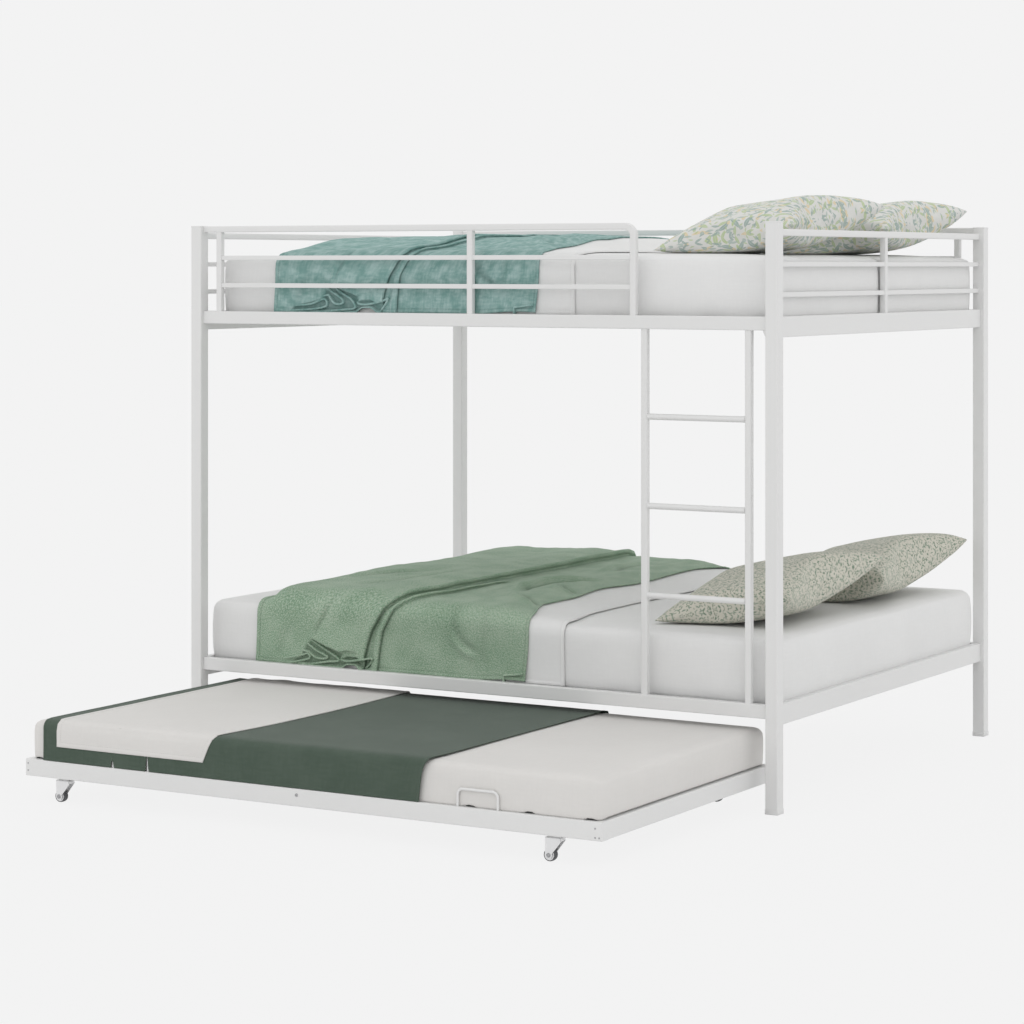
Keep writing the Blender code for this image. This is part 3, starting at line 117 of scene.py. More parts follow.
class Desk:
    """Places and links the nodes of one tree."""

    def __init__(self, tree: Tree) -> None:
        """Keep the tree that nodes go into."""
        self.tree = tree

    def feed(self, socket: Socket, value: object) -> None:
        """Link a socket to another one, or give it a plain value."""
        if isinstance(value, Socket):
            self.tree.links.new(value, socket)
        else:
            socket.default_value = (*value, 1.0) if socket.type == "RGBA" else value

    def fill(self, node: Node, *values: object, **sockets: object) -> Node:
        """Set or link a node's inputs, in their order or by name."""
        for socket, value in zip(node.inputs, values):
            self.feed(socket, value)
        for key, value in sockets.items():
            self.feed(node.inputs[key.replace("_", " ")], value)
        return node

    def node(self, kind: str, settings: dict | None = None, *values: object, **sockets: object) -> Node:
        """Add a node, set its properties and fill its inputs."""
        made = self.tree.nodes.new(kind)
        for key, value in (settings or {}).items():
            setattr(made, key, value)
        return self.fill(made, *values, **sockets)

    def maths(self, operation: str, *values: object, clamp: bool = False) -> Socket:
        """Return the result of a Math node."""
        return self.node("ShaderNodeMath", {"operation": operation, "use_clamp": clamp}, *values).outputs[0]

    def times(self, first: object, second: object) -> Socket:
        """Return a product."""
        return self.maths("MULTIPLY", first, second)

    def vector(self, operation: str, *values: object, **sockets: object) -> Socket:
        """Return the result of a Vector Math node."""
        return self.node("ShaderNodeVectorMath", {"operation": operation}, *values, **sockets).outputs[0]

    def xyz(self, x: object, y: object, z: object) -> Socket:
        """Return a vector made of three values."""
        return self.node("ShaderNodeCombineXYZ", None, x, y, z).outputs[0]

    def split(self, vector: Socket) -> Sequence[Socket]:
        """Return a vector's three values."""
        return self.node("ShaderNodeSeparateXYZ", None, vector).outputs

    def group(self, tree: Tree, **sockets: object) -> Sequence[Socket]:
        """Return the outputs of a shared group."""
        return self.node("ShaderNodeGroup", {"node_tree": tree}, **sockets).outputs

    def noise(self, vector: Socket, scale: object, detail: float = 2.0) -> Socket:
        """Return a noise value."""
        return self.node("ShaderNodeTexNoise", Vector=vector, Scale=scale, Detail=detail).outputs["Fac"]

    def mix(self, share: object, first: object, second: object) -> Socket:
        """Return two colours mixed."""
        made = self.node("ShaderNodeMix", {"data_type": "RGBA"}, share)
        self.feed(made.inputs[6], first)
        self.feed(made.inputs[7], second)
        return made.outputs[2]

    def span(self, value: Socket, low: float, high: float, start: float = 0.0, end: float = 1.0) -> Socket:
        """Return a value mapped smoothly from low..high to start..end."""
        smooth = {"interpolation_type": "SMOOTHSTEP"}
        return self.node("ShaderNodeMapRange", smooth, value, low, high, start, end).outputs[0]

    def bump(self, height: Socket, depth: float, strength: float = 1.0) -> Socket:
        """Return the normal of a surface with a height."""
        return self.node("ShaderNodeBump", Height=height, Distance=depth, Strength=strength).outputs["Normal"]


def shader_group(name: str, inputs: dict[str, object], outputs: Sequence[str],
                 wire: Callable[[Desk, dict], Sequence[Socket]]) -> Tree:
    """Return a shared shader group, built on first use.

    Args:
        name: the group's name.
        inputs: default value of each input besides its place on the piece.
        outputs: the name of each output, all of them plain values.
        wire: builds the inside and returns the socket for each output.

    Returns:
        The node group.
    """
    if name in bpy.data.node_groups:
        return bpy.data.node_groups[name]
    tree = bpy.data.node_groups.new(name, "ShaderNodeTree")
    for label, value in {"Place": (0.0, 0.0, 0.0), **inputs}.items():
        kind = "NodeSocketVector" if isinstance(value, tuple) else "NodeSocketFloat"
        tree.interface.new_socket(name=label, in_out="INPUT", socket_type=kind).default_value = value
    for label in outputs:
        tree.interface.new_socket(name=label, in_out="OUTPUT", socket_type="NodeSocketFloat")
    desk = Desk(tree)
    given = desk.node("NodeGroupInput").outputs
    desk.node("NodeGroupOutput", None, *wire(desk, given))
    return tree


def weave_group() -> Tree:
    """Return the group that draws over-and-under threads and their flecks."""
    def wire(desk: Desk, given: dict) -> Sequence[Socket]:
        place, pitch, slub = given["Place"], given["Pitch"], given["Slub"]
        wander = desk.noise(place, 35.0, 3.0)
        bent = desk.vector("ADD", desk.vector("DIVIDE", place, desk.xyz(pitch, pitch, 1.0)),
                           desk.xyz(wander, wander, 0.0))
        warp, weft = (desk.maths("SINE", desk.times(part, math.pi)) for part in desk.split(bent)[:2])
        over = desk.maths("GREATER_THAN", desk.times(warp, weft), 0.0)
        first = desk.times(desk.maths("ABSOLUTE", warp), over)
        second = desk.times(desk.maths("ABSOLUTE", weft), desk.maths("SUBTRACT", 1.0, over))
        flecks = (desk.noise(desk.vector("MULTIPLY", place, stretch), given["Fleck Scale"])
                  for stretch in (desk.xyz(slub, 1.0, 1.0), desk.xyz(1.0, slub, 1.0)))
        return desk.maths("ADD", first, second), desk.span(desk.times(*flecks), 0.14, 0.38)

    inputs = {"Pitch": 0.002, "Fleck Scale": 120.0, "Slub": 0.16}
    return shader_group("weave", inputs, ("Height", "Fleck"), wire)


def grain_group() -> Tree:
    """Return the group that gives a fine surface grain and slow tone drift."""
    def wire(desk: Desk, given: dict) -> Sequence[Socket]:
        return desk.noise(given["Place"], given["Fine"], 3.0), desk.noise(given["Place"], given["Slow"])

    return shader_group("grain", {"Fine": 900.0, "Slow": 3.0}, ("Height", "Drift"), wire)


def motif_group() -> Tree:
    """Return the group that scatters one leaf-shaped stroke per cell, each with its own turn."""
    def wire(desk: Desk, given: dict) -> Sequence[Socket]:
        spread = desk.vector("SCALE", given["Place"], Scale=given["Density"])
        scaled = desk.vector("ADD", spread, given["Shift"])
        cells = desk.node("ShaderNodeTexVoronoi", {"voronoi_dimensions": "2D"}, Vector=scaled, Scale=1.0,
                          Randomness=0.9).outputs
        offset = desk.vector("SUBTRACT", scaled, cells["Position"])
        pick = desk.node("ShaderNodeSeparateColor", Color=cells["Color"]).outputs
        local = desk.node("ShaderNodeVectorRotate", {"rotation_type": "Z_AXIS"}, Vector=offset,
                          Angle=desk.times(pick[0], 2 * math.pi))
        along, beside, _ = desk.split(local.outputs[0])
        reach = desk.maths("DIVIDE", along, given["Long"])
        square = desk.times(reach, reach)
        bowed = desk.maths("SUBTRACT", beside, desk.times(square, 0.06))
        across = desk.maths("DIVIDE", desk.maths("ABSOLUTE", bowed), given["Wide"])
        mask = desk.span(desk.maths("SUBTRACT", desk.maths("SUBTRACT", 1.0, square), across), 0.0, 0.10)
        vein = desk.span(across, 0.06, 0.14, 0.45, 1.0)
        return desk.times(mask, vein), pick[1]

    return shader_group("motif", {"Shift": (0.0, 0.0, 0.0), "Density": 20.0, "Long": 0.4, "Wide": 0.12},
                        ("Mask", "Pick"), wire)


@dataclass(frozen=True)
class Finish:
    """What every finish has: a name, the record's slot, a colour and a roughness."""

    name: str
    slot: str
    colour: Colour
    roughness: float

    def material(self) -> bpy.types.Material:
        """Return the finish's material, made on first use."""
        found = bpy.data.materials.get(self.name)
        if found:
            return found
        made = bpy.data.materials.new(self.name)
        made.use_nodes = True
        made.diffuse_color = (*self.colour, 1.0)
        desk = Desk(made.node_tree)
        self.wire(desk, desk.fill(made.node_tree.nodes["Principled BSDF"], Roughness=self.roughness))
        return made

    def wire(self, desk: Desk, shader: Node) -> None:
        """Add this finish's own nodes."""


@dataclass(frozen=True)
class Coating(Finish):
    """Paint, plastic or plated metal: fine grain, slow drift of tone and gloss."""

    fine: float = 260.0
    depth: float = 0.00008
    metallic: float = 0.0
    coat: float = 0.0
    drift: float = 0.04
    gloss_drift: float = 0.08

    def wire(self, desk: Desk, shader: Node) -> None:
        """Add grain to the normal and drift to colour and roughness."""
        place = desk.node("ShaderNodeTexCoord").outputs["Object"]
        grain = desk.group(grain_group(), Place=place, Fine=self.fine, Slow=4.0)
        dark = tuple(c * (1.0 - self.drift) for c in self.colour)
        gloss = desk.span(grain["Drift"], 0.3, 0.7, self.roughness - self.gloss_drift,
                          self.roughness + self.gloss_drift)
        desk.fill(shader, Base_Color=desk.mix(grain["Drift"], dark, self.colour), Roughness=gloss,
                  Metallic=self.metallic, Coat_Weight=self.coat, Coat_Roughness=0.25,
                  Normal=desk.bump(grain["Height"], self.depth))


@dataclass(frozen=True)
class Woven(Finish):
    """Plain woven cloth with flecks of a second colour; it reads the piece's own UV map in metres."""

    second: Colour
    third: Colour | None = None
    pitch: float = 0.0010
    fleck_scale: float = 130.0
    fleck: float = 0.3
    slub: float = 0.16
    cloud: float = 0.4
    cloud_scale: float = 4.0
    depth: float = 0.0001
    sheen: float = 0.1

    def wire(self, desk: Desk, shader: Node) -> None:
        """Add threads, flecks, cloudy wear, sheen and the painted shade in creases and folds."""
        place = desk.node("ShaderNodeUVMap", {"uv_map": "cloth"}).outputs[0]
        weave = desk.group(weave_group(), Place=place, Pitch=self.pitch, Fleck_Scale=self.fleck_scale,
                           Slub=self.slub)
        cloud = desk.span(desk.noise(place, self.cloud_scale, 4.0), 0.35, 0.68)
        share = desk.maths("ADD", desk.times(weave["Fleck"], self.fleck),
                           desk.times(cloud, self.cloud), clamp=True)
        colour = desk.mix(share, self.colour, self.second)
        if self.third:
            rare = desk.span(desk.noise(place, self.fleck_scale * 1.7, 1.0), 0.60, 0.70)
            colour = desk.mix(rare, colour, self.third)
        # Painted shade: the piece's per-point shade value darkens the woven colour in creases, under fold
        # noses and in the bunched hem.
        painted_shade = desk.node("ShaderNodeAttribute", {"attribute_name": "painted_shade"}).outputs["Fac"]
        deep = tuple(c * 0.22 for c in self.colour)
        ground = desk.mix(desk.times(painted_shade, 0.8), colour, deep)
        desk.fill(shader, Base_Color=self.printed(desk, place, ground), Sheen_Weight=self.sheen,
                  Sheen_Roughness=0.5, Specular_IOR_Level=0.2,
                  Normal=desk.bump(weave["Height"], self.depth, 0.8))

    def printed(self, desk: Desk, place: Socket, ground: Socket) -> Socket:
        """Return the cloth's colour, which plain cloth leaves as it is woven."""
        return ground


class Motif(Enum):
    """The printed patterns: how dense, long and wide the strokes of each layer are."""

    LEAVES = ((18.0, 0.46, 0.14), (23.0, 0.45, 0.12), (20.0, 0.17, 0.15), (28.0, 0.44, 0.11),
              (40.0, 0.36, 0.10))
    SPECKS = ((46.0, 0.40, 0.13), (60.0, 0.40, 0.12), (74.0, 0.34, 0.11))


@dataclass(frozen=True)
class Printed(Woven):
    """Cotton with a small scattered print over its weave."""

    fleck: float = 0.5
    cloud: float = 0.3
    cloud_scale: float = 14.0
    motif: Motif = Motif.LEAVES
    inks: tuple[Colour, ...] = ()

    def printed(self, desk: Desk, place: Socket, ground: Socket) -> Socket:
        """Lay the print's layers over the woven ground."""
        for index, (density, long, wide) in enumerate(self.motif.value):
            motif = desk.group(motif_group(), Place=place, Density=density, Long=long, Wide=wide,
                               Shift=(3.7 * index, 5.1 * index, 0.0))
            first, second = (self.inks[(index + step) % len(self.inks)] for step in (0, 1))
            ink = desk.mix(desk.span(motif["Pick"], 0.45, 0.55), first, second)
            ground = desk.mix(desk.times(motif["Mask"], 0.9), ground, ink)
        return ground


WHITE_PAINT = Coating("white_powder_coat", "powder_white", (0.75, 0.75, 0.745), 0.42, fine=1100.0, coat=0.05)
FOOT_PLASTIC = Coating("pale_foot_plastic", "foot_plastic", (0.74, 0.74, 0.735), 0.55, fine=400.0)
BLACK_PLASTIC = Coating("black_cap_plastic", "wheel_grey", (0.02, 0.02, 0.022), 0.5, fine=300.0)
ZINC = Coating("bright_zinc", "caster_steel", (0.80, 0.80, 0.805), 0.32, metallic=0.55, depth=0.00003)
STEEL = Coating("dull_steel", "caster_steel", (0.42, 0.42, 0.43), 0.40, metallic=0.6, depth=0.00003)
GREY_TREAD = Coating("grey_wheel_tread", "wheel_grey", (0.11, 0.113, 0.118), 0.6, fine=500.0)
WHITE_COTTON = Woven("white_cotton", "linen_white", (0.745, 0.745, 0.74), 0.85, (0.785, 0.785, 0.78),
                     pitch=0.0009, depth=0.00008)
CREAM_COTTON = Woven("cream_cotton", "linen_cream", (0.69, 0.675, 0.655), 0.88, (0.725, 0.71, 0.69))
SAGE_WOOL = Woven("sage_wool", "sage_weave", (0.158, 0.272, 0.176), 0.95, (0.430, 0.525, 0.420),
                  (0.42, 0.45, 0.33), pitch=0.0022, fleck_scale=280.0, fleck=0.78, slub=0.9, cloud=0.25,
                  cloud_scale=9.0, depth=0.00015)
TEAL_LINEN = Woven("teal_linen", "teal_weave", (0.180, 0.330, 0.305), 0.93, (0.385, 0.530, 0.510),
                   pitch=0.0020, fleck_scale=110.0, fleck=0.40, slub=0.3, cloud=0.60, cloud_scale=24.0,
                   depth=0.0003, sheen=0.04)
DARK_COTTON = Woven("dark_green_cotton", "dark_green", (0.064, 0.093, 0.070), 0.92, (0.090, 0.121, 0.095),
                    pitch=0.0014, cloud_scale=6.0, depth=0.0002, sheen=0.15)
LEAF_COTTON = Printed("leaf_print_cotton", "leaf_print", (0.655, 0.655, 0.63), 0.9, (0.695, 0.695, 0.67),
                      inks=((0.31, 0.40, 0.37), (0.45, 0.54, 0.31), (0.70, 0.58, 0.37), (0.40, 0.48, 0.44)))
SPECK_COTTON = Printed("speck_print_cotton", "speckle_print", (0.56, 0.545, 0.47), 0.9, (0.62, 0.60, 0.53),
                       pitch=0.0011, motif=Motif.SPECKS,
                       inks=((0.12, 0.20, 0.14), (0.24, 0.31, 0.24), (0.20, 0.25, 0.18)))


# Mesh helpers


def linked(name: str, data: bpy.types.ID) -> Object:
    """Return a new object that stands in the scene."""
    made = bpy.data.objects.new(name, data)
    bpy.context.scene.collection.objects.link(made)
    return made


def baked(made: Object) -> bpy.types.Mesh:
    """Return an object's mesh with its modifiers applied."""
    return bpy.data.meshes.new_from_object(made.evaluated_get(bpy.context.evaluated_depsgraph_get()))


def settle(made: Object) -> None:
    """Leave an object with a plain mesh and no modifiers."""
    mesh = baked(made)
    made.modifiers.clear()
    made.data = mesh


def piece(name: str, verts: Points, faces: Iterable[Sequence[int]], finish: Finish, body: str,
          uvs: Points | None = None, sharp: float = 40.0, painted_shade: Points | None = None) -> Object:
    """Make a piece from points given from the bed's corner, dress it and let it ride.

    Args:
        name: the piece's name.
        verts: its points.
        faces: its faces, as vertex numbers.
        finish: what it is made of.
        body: the moving body it belongs to.
        uvs: a place on the cloth, in metres, for each point.
        sharp: the angle above which an edge stays sharp, in degrees.
        painted_shade: how much painted shade darkens each point's colour, 0 to 1.

    Returns:
        The object.
    """
    mesh = bpy.data.meshes.new(name)
    mesh.from_pydata([tuple(v) for v in BEDS.world(verts)], [], [tuple(f) for f in faces])
    if uvs is not None:
        layer = mesh.uv_layers.new(name="cloth")
        loops = np.empty(len(mesh.loops), np.int32)
        mesh.loops.foreach_get("vertex_index", loops)
        layer.data.foreach_set("uv", np.asarray(uvs, np.float32)[loops].ravel())
    # Painted shade per point, which the woven cloth's material reads to darken its colour.
    if painted_shade is not None:
        shade = mesh.attributes.new("painted_shade", "FLOAT", "POINT")
        shade.data.foreach_set("value", np.ravel(painted_shade).astype(np.float32))
    mesh.update()
    mesh.validate()
    return dress(linked(name, mesh), finish, body, sharp)


def dress(made: Object, finish: Finish, body: str, sharp: float = 40.0) -> Object:
    """Give a finished object its material, shading and body."""
    made.data.materials.clear()
    made.data.materials.append(finish.material())
    made.data.shade_smooth()
    if sharp < 180.0:
        made.data.set_sharp_from_angle(angle=math.radians(sharp))
    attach(made, body)
    LOG.info("%s: %d faces", made.name, len(made.data.polygons))
    return made


def paint(names: Iterable[str]) -> None:
    """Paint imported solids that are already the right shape."""
    for name in names:
        node = frame["nodes"][name]
        node.data.materials.clear()
        node.data.materials.append(WHITE_PAINT.material())


def grid_faces(rows: int, columns: int, close_rows: bool = False, close_columns: bool = False
               ) -> list[tuple[int, int, int, int]]:
    """Return the quads of a grid of points numbered row by row."""
    found = []
    for i, j in product(range(rows - (not close_rows)), range(columns - (not close_columns))):
        here, below, beside = i * columns, (i + 1) % rows * columns, (j + 1) % columns
        found.append((here + j, below + j, below + beside, here + beside))
    return found


class Parts:
    """Collects several simple shapes into one mesh; each method returns the collection."""

    def __init__(self) -> None:
        """Start with nothing."""
        self.verts: list[Points] = []
        self.faces: list[tuple[int, ...]] = []

    def add(self, verts: Points, faces: Iterable[Sequence[int]]) -> "Parts":
        """Add one shape."""
        start = sum(len(v) for v in self.verts)
        self.verts.append(np.asarray(verts, float))
        self.faces += [tuple(start + i for i in f) for f in faces]
        return self

    def sweep(self, path: Points, section: Points, normal: Sequence[float] = (0.0, 1.0, 0.0)) -> "Parts":
        """Sweep a closed section along a flat path whose plane has the given normal."""
        path, normal = np.asarray(path, float), np.asarray(normal, float)
        steps = np.diff(path, axis=0)
        steps /= np.linalg.norm(steps, axis=1)[:, None]
        rings, sharpest = [], 0.3
        for i, point in enumerate(path):
            before, after = steps[max(i - 1, 0)], steps[min(i, len(steps) - 1)]
            heading = (before + after) / np.linalg.norm(before + after)
            side = np.cross(normal, heading) / max(sharpest, heading @ after)
            rings.append(point + np.outer(section[:, 0], normal) + np.outer(section[:, 1], side))
        count, last = len(section), (len(path) - 1) * len(section)
        faces = grid_faces(len(path), count, close_columns=True)
        faces += [tuple(range(count))[::-1], tuple(range(last, last + count))]
        return self.add(np.concatenate(rings), faces)

    def plate(self, outline: Pairs, near: float, far: float) -> "Parts":
        """Add a flat plate with an (x, z) outline between two depths."""
        count = len(outline)
        faces = [tuple(range(count)), tuple(range(count, 2 * count))[::-1]]
        faces += [(i, count + i, count + (i + 1) % count, (i + 1) % count) for i in range(count)]
        return self.add([(x, y, z) for y in (near, far) for x, z in outline], faces)

    def block(self, low: Sequence[float], high: Sequence[float], radius: float = 0.0015) -> "Parts":
        """Add a box with rounded edges."""
        builder = bmesh.new()
        bmesh.ops.create_cube(builder, size=1.0)
        for v in builder.verts:
            v.co = Vector(np.asarray(low) + (np.array(v.co) + 0.5) * np.subtract(high, low))
        bmesh.ops.bevel(builder, geom=builder.edges[:], offset=radius, segments=2, profile=0.5,
                        affect="EDGES")
        builder.verts.index_update()
        self.add([v.co for v in builder.verts], [[v.index for v in f.verts] for f in builder.faces])
        builder.free()
        return self

    def turned(self, profile: Pairs, centre: Sequence[float], axis: int, sides: int = 28) -> "Parts":
        """Turn a closed profile of (along, radius) pairs about an axis through a centre."""
        circle = round_section(1.0, sides)
        rings = [np.insert(circle * radius, axis, along, axis=1) + centre for along, radius in profile]
        return self.add(np.concatenate(rings), grid_faces(len(profile), sides, True, True))

    def piece(self, name: str, finish: Finish, body: str, node: str = "", **options: object) -> Object:
        """Turn all that was added into one piece with its faces out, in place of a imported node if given."""
        made = piece(name, np.concatenate(self.verts), self.faces, finish, body, **options)
        builder = bmesh.new()
        builder.from_mesh(made.data)
        bmesh.ops.recalc_face_normals(builder, faces=builder.faces)
        builder.to_mesh(made.data)
        builder.free()
        if node:
            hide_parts(node)
        return made


def rounded_section(width: float, height: float, radius: float, steps: int = 4) -> Points:
    """Return the outline of a rounded rectangle about zero."""
    found = []
    for side_x, side_y, turn in ((1, 1, 0.0), (-1, 1, 0.5), (-1, -1, 1.0), (1, -1, 1.5)):
        for step in range(steps + 1):
            angle = math.pi * (turn + 0.5 * step / steps)
            found.append((side_x * (width / 2 - radius) + radius * math.cos(angle),
                          side_y * (height / 2 - radius) + radius * math.sin(angle)))
    return np.array(found)


def round_section(radius: float, sides: int = 20) -> Points:
    """Return a circle's outline about zero."""
    angles = np.linspace(0, 2 * math.pi, sides, endpoint=False)
    return np.stack([radius * np.cos(angles), radius * np.sin(angles)], 1)


def smooth_line(keys: Sequence[tuple[float, float]], at: Points) -> Points:
    """Return a smooth curve through (place, value) pairs that never overshoots them."""
    keys = np.asarray(keys, float)
    x, y = keys[:, 0], keys[:, 1]
    steps = np.diff(y) / np.diff(x)
    slopes = np.zeros_like(y)
    slopes[0], slopes[-1] = steps[0], steps[-1]
    same = steps[:-1] * steps[1:] > 0
    slopes[1:-1][same] = 2 * steps[:-1][same] * steps[1:][same] / (steps[:-1][same] + steps[1:][same])
    at = np.clip(np.asarray(at, float), x[0], x[-1])
    i = np.clip(np.searchsorted(x, at) - 1, 0, len(x) - 2)
    width = x[i + 1] - x[i]
    u = (at - x[i]) / width
    return ((2 * u**3 - 3 * u**2 + 1) * y[i] + (u**3 - 2 * u**2 + u) * width * slopes[i]
            + (3 * u**2 - 2 * u**3) * y[i + 1] + (u**3 - u**2) * width * slopes[i + 1])


def ease(value: Points, low: float, high: float) -> Points:
    """Return 0 below low, 1 above high and a smooth rise between; low may be above high."""
    u = np.clip((np.asarray(value, float) - low) / (high - low), 0.0, 1.0)
    return u * u * (3 - 2 * u)


def ripples(x: Points, y: Points, scale: float, seed: float) -> Points:
    """Return smooth noise between about -1 and 1 for two arrays of places."""
    flat = [noise.noise(Vector((a * scale, b * scale, seed)))
            for a, b in zip(np.ravel(x), np.ravel(y))]
    return np.reshape(flat, np.shape(x))


# Geometry Nodes


class Recipe:
    """A Geometry Nodes tree with named inputs that is baked to a plain mesh."""

    def __init__(self, name: str) -> None:
        """Make the tree with its geometry sockets."""
        self.tree = bpy.data.node_groups.new(name, "GeometryNodeTree")
        self.tree.is_modifier = True
        self.desk = Desk(self.tree)
        self.ids: dict[str, str] = {}
        for way in ("OUTPUT", "INPUT"):
            self.tree.interface.new_socket(name="Geometry", in_out=way, socket_type="NodeSocketGeometry")
        self.given = self.desk.node("NodeGroupInput")

    def ask(self, label: str, kind: str = "NodeSocketFloat") -> Socket:
        """Add a named input and return its socket inside the tree."""
        made = self.tree.interface.new_socket(name=label, in_out="INPUT", socket_type=kind)
        self.ids[label] = made.identifier
        return self.given.outputs[label]

    def scatter(self, instance: Socket, points: Socket | None = None, **sockets: Socket) -> "Recipe":
        """Set the instance on the points, end in Realize Instances and Set Material, return the recipe."""
        points = points or self.given.outputs["Geometry"]
        copies = self.desk.node("GeometryNodeInstanceOnPoints", Points=points, Instance=instance, **sockets)
        whole = self.desk.node("GeometryNodeRealizeInstances", Geometry=copies.outputs[0])
        dressed = self.desk.node("GeometryNodeSetMaterial", Geometry=whole.outputs[0],
                                 Material=self.ask("Material", "NodeSocketMaterial"))
        self.desk.node("NodeGroupOutput", None, dressed.outputs[0])
        return self

    def bake(self, name: str, seeds: bpy.types.Mesh, finish: Finish, body: str, **values: object) -> Object:
        """Run the tree on a mesh of seed points and return a plain piece."""
        holder = linked(name, seeds)
        modifier = holder.modifiers.new("recipe", "NODES")
        modifier.node_group = self.tree
        for label, value in {**values, "Material": finish.material()}.items():
            modifier[self.ids[label]] = value
        settle(holder)
        holder.data.name = name
        return dress(holder, finish, body)


def seed_points(points: Points, edges: Iterable[tuple[int, int]] = ()) -> bpy.types.Mesh:
    """Return a mesh of loose points, given from the bed's corner, or of lines between them."""
    mesh = bpy.data.meshes.new("seeds")
    mesh.from_pydata([tuple(p) for p in BEDS.world(points)], list(edges), [])
    return mesh


def slat_recipe() -> Recipe:
    """Return the tree that lays rounded bars over a row of points."""
    recipe = Recipe("slat_row")
    desk = recipe.desk
    outline = desk.node("GeometryNodeCurvePrimitiveQuadrilateral", Width=recipe.ask("Width"),
                        Height=recipe.ask("Thickness"))
    soft = desk.node("GeometryNodeFilletCurve", {"mode": "POLY"}, Curve=outline.outputs[0],
                     Radius=recipe.ask("Corner"), Count=4)
    length = recipe.ask("Length")
    ends = [desk.xyz(0.0, desk.times(length, share), 0.0) for share in (-0.5, 0.5)]
    line = desk.node("GeometryNodeCurvePrimitiveLine", None, *ends)
    slat = desk.node("GeometryNodeCurveToMesh", Curve=line.outputs[0], Profile_Curve=soft.outputs[0],
                     Fill_Caps=True)
    return recipe.scatter(slat.outputs[0])


def screw_recipe() -> Recipe:
    """Return the tree that sets a domed screw head with a socket on each point."""
    recipe = Recipe("screw_heads")
    desk = recipe.desk
    radius, rise = recipe.ask("Radius"), recipe.ask("Rise")
    disc = desk.node("GeometryNodeMeshCircle", {"fill_type": "NGON"}, Vertices=18, Radius=radius)
    shape, top = disc.outputs[0], {}
    for height, shrink in ((0.55, 0.92), (0.45, 0.62), (0.0, 0.72), (-0.6, 0.9)):
        grown = desk.node("GeometryNodeExtrudeMesh", Mesh=shape, Offset_Scale=desk.times(rise, height), **top)
        top = {"Selection": grown.outputs["Top"]}
        shape = desk.node("GeometryNodeScaleElements", Geometry=grown.outputs["Mesh"], Scale=shrink, **top
                          ).outputs[0]
    return recipe.scatter(shape, Rotation=recipe.ask("Turn", "NodeSocketRotation"))


def stitch_recipe() -> Recipe:
    """Return the tree that sews short stitches along lines."""
    recipe = Recipe("stitch_line")
    desk = recipe.desk
    curve = desk.node("GeometryNodeMeshToCurve", Mesh=recipe.given.outputs["Geometry"])
    even = desk.node("GeometryNodeResampleCurve", Curve=curve.outputs[0])
    if "Mode" in even.inputs:
        even.inputs["Mode"].default_value = "Length"
    else:
        even.mode = "LENGTH"
    desk.feed(even.inputs["Length"], recipe.ask("Pitch"))
    bead = desk.node("GeometryNodeMeshUVSphere", Segments=6, Rings=4, Radius=recipe.ask("Thread"))
    long = desk.node("GeometryNodeTransform", Geometry=bead.outputs[0],
                     Scale=desk.xyz(recipe.ask("Stretch"), 1.0, 1.0))
    turn = desk.node("FunctionNodeAlignRotationToVector", {"axis": "X"},
                     Vector=desk.node("GeometryNodeInputTangent").outputs[0])
    return recipe.scatter(long.outputs[0], even.outputs[0], Rotation=turn.outputs[0])


SLATS, SCREWS, STITCHES = slat_recipe(), screw_recipe(), stitch_recipe()


# Steel


def slat_deck(names: Sequence[str], node: str, body: str, xs: Points, ys: tuple[float, float], z: float,
              slat: dict[str, float], cap: dict[str, float], beam: Points) -> None:
    """Build a row of slats, their black end caps and the beam under their middle.

    Args:
        names: the names of the slats, the caps and the beam.
        node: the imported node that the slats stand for.
        body: the moving body they belong to.
        xs: the X of each slat.
        ys: the Y of the caps' middles.
        z: the height of the slats' middles.
        slat: the slats' values for the slat recipe.
        cap: the caps' values for it.
        beam: the beam's section.
    """
    middle = sum(ys) / 2
    slats = SLATS.bake(names[0], seed_points([(x, middle, z) for x in xs]), WHITE_PAINT, body, **slat)
    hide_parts(node)
    SLATS.bake(names[1], seed_points([(x, y, z) for x in xs for y in ys]), BLACK_PLASTIC, body, **cap)
    Parts().sweep([(xs[0], middle, z), (xs[-1], middle, z)], beam).piece(names[2], WHITE_PAINT, body)


@dataclass
class Guards:
    """The rounded tubes round the upper bunk."""

    corner: float = 0.0032
    bend: float = 0.030
    drop: float = 0.0205
    gap: float = 0.049
    gate: float = 0.4285

    def frame(self, side: str, path: Triples, uprights: Pairs, drop: float = 0.0,
              normal: tuple[float, float, float] = (0.0, 1.0, 0.0)) -> None:
        """Build one guard: its top tube swept along a path and its uprights, given by X and Y."""
        section = rounded_section(BEDS.tube, BEDS.tube, self.corner)
        parts = Parts().sweep(path, section, normal)
        under = BEDS.height - drop - BEDS.tube + 0.001
        for x, y in uprights:
            parts.sweep([(x, y, BEDS.upper_rail_top), (x, y, under)], section)
        parts.piece(f"{side}_guard", WHITE_PAINT, BED, f"guard_{side}_frame")

    def build(self) -> None:
        """Build the front, back, left and right guards."""
        half, post, length, width = BEDS.tube / 2, BEDS.post, BEDS.length, BEDS.width
        top, front = BEDS.height - half, BEDS.guard_setback + half
        end, near, back = length - post - self.gate - half, post + self.gap + half, width - front
        arc = [(end - self.bend * (1 - math.sin(a)), front, top - self.bend * (1 - math.cos(a)))
               for a in np.linspace(0, math.pi / 2, 10)]
        self.frame("front", [(post, front, top), *arc, (end, front, BEDS.upper_rail_top)],
                   [(near, front), (length / 2, front)])
        self.frame("back", [(post, back, top), (length - post, back, top)],
                   [(x, back) for x in (near, length / 2, length - near)])
        low = top - self.drop
        for side, x in (("left", front), ("right", length - front)):
            self.frame(side, [(x, post, low), (x, width - post, low)], [(x, width / 2)], self.drop,
                       (1.0, 0.0, 0.0))


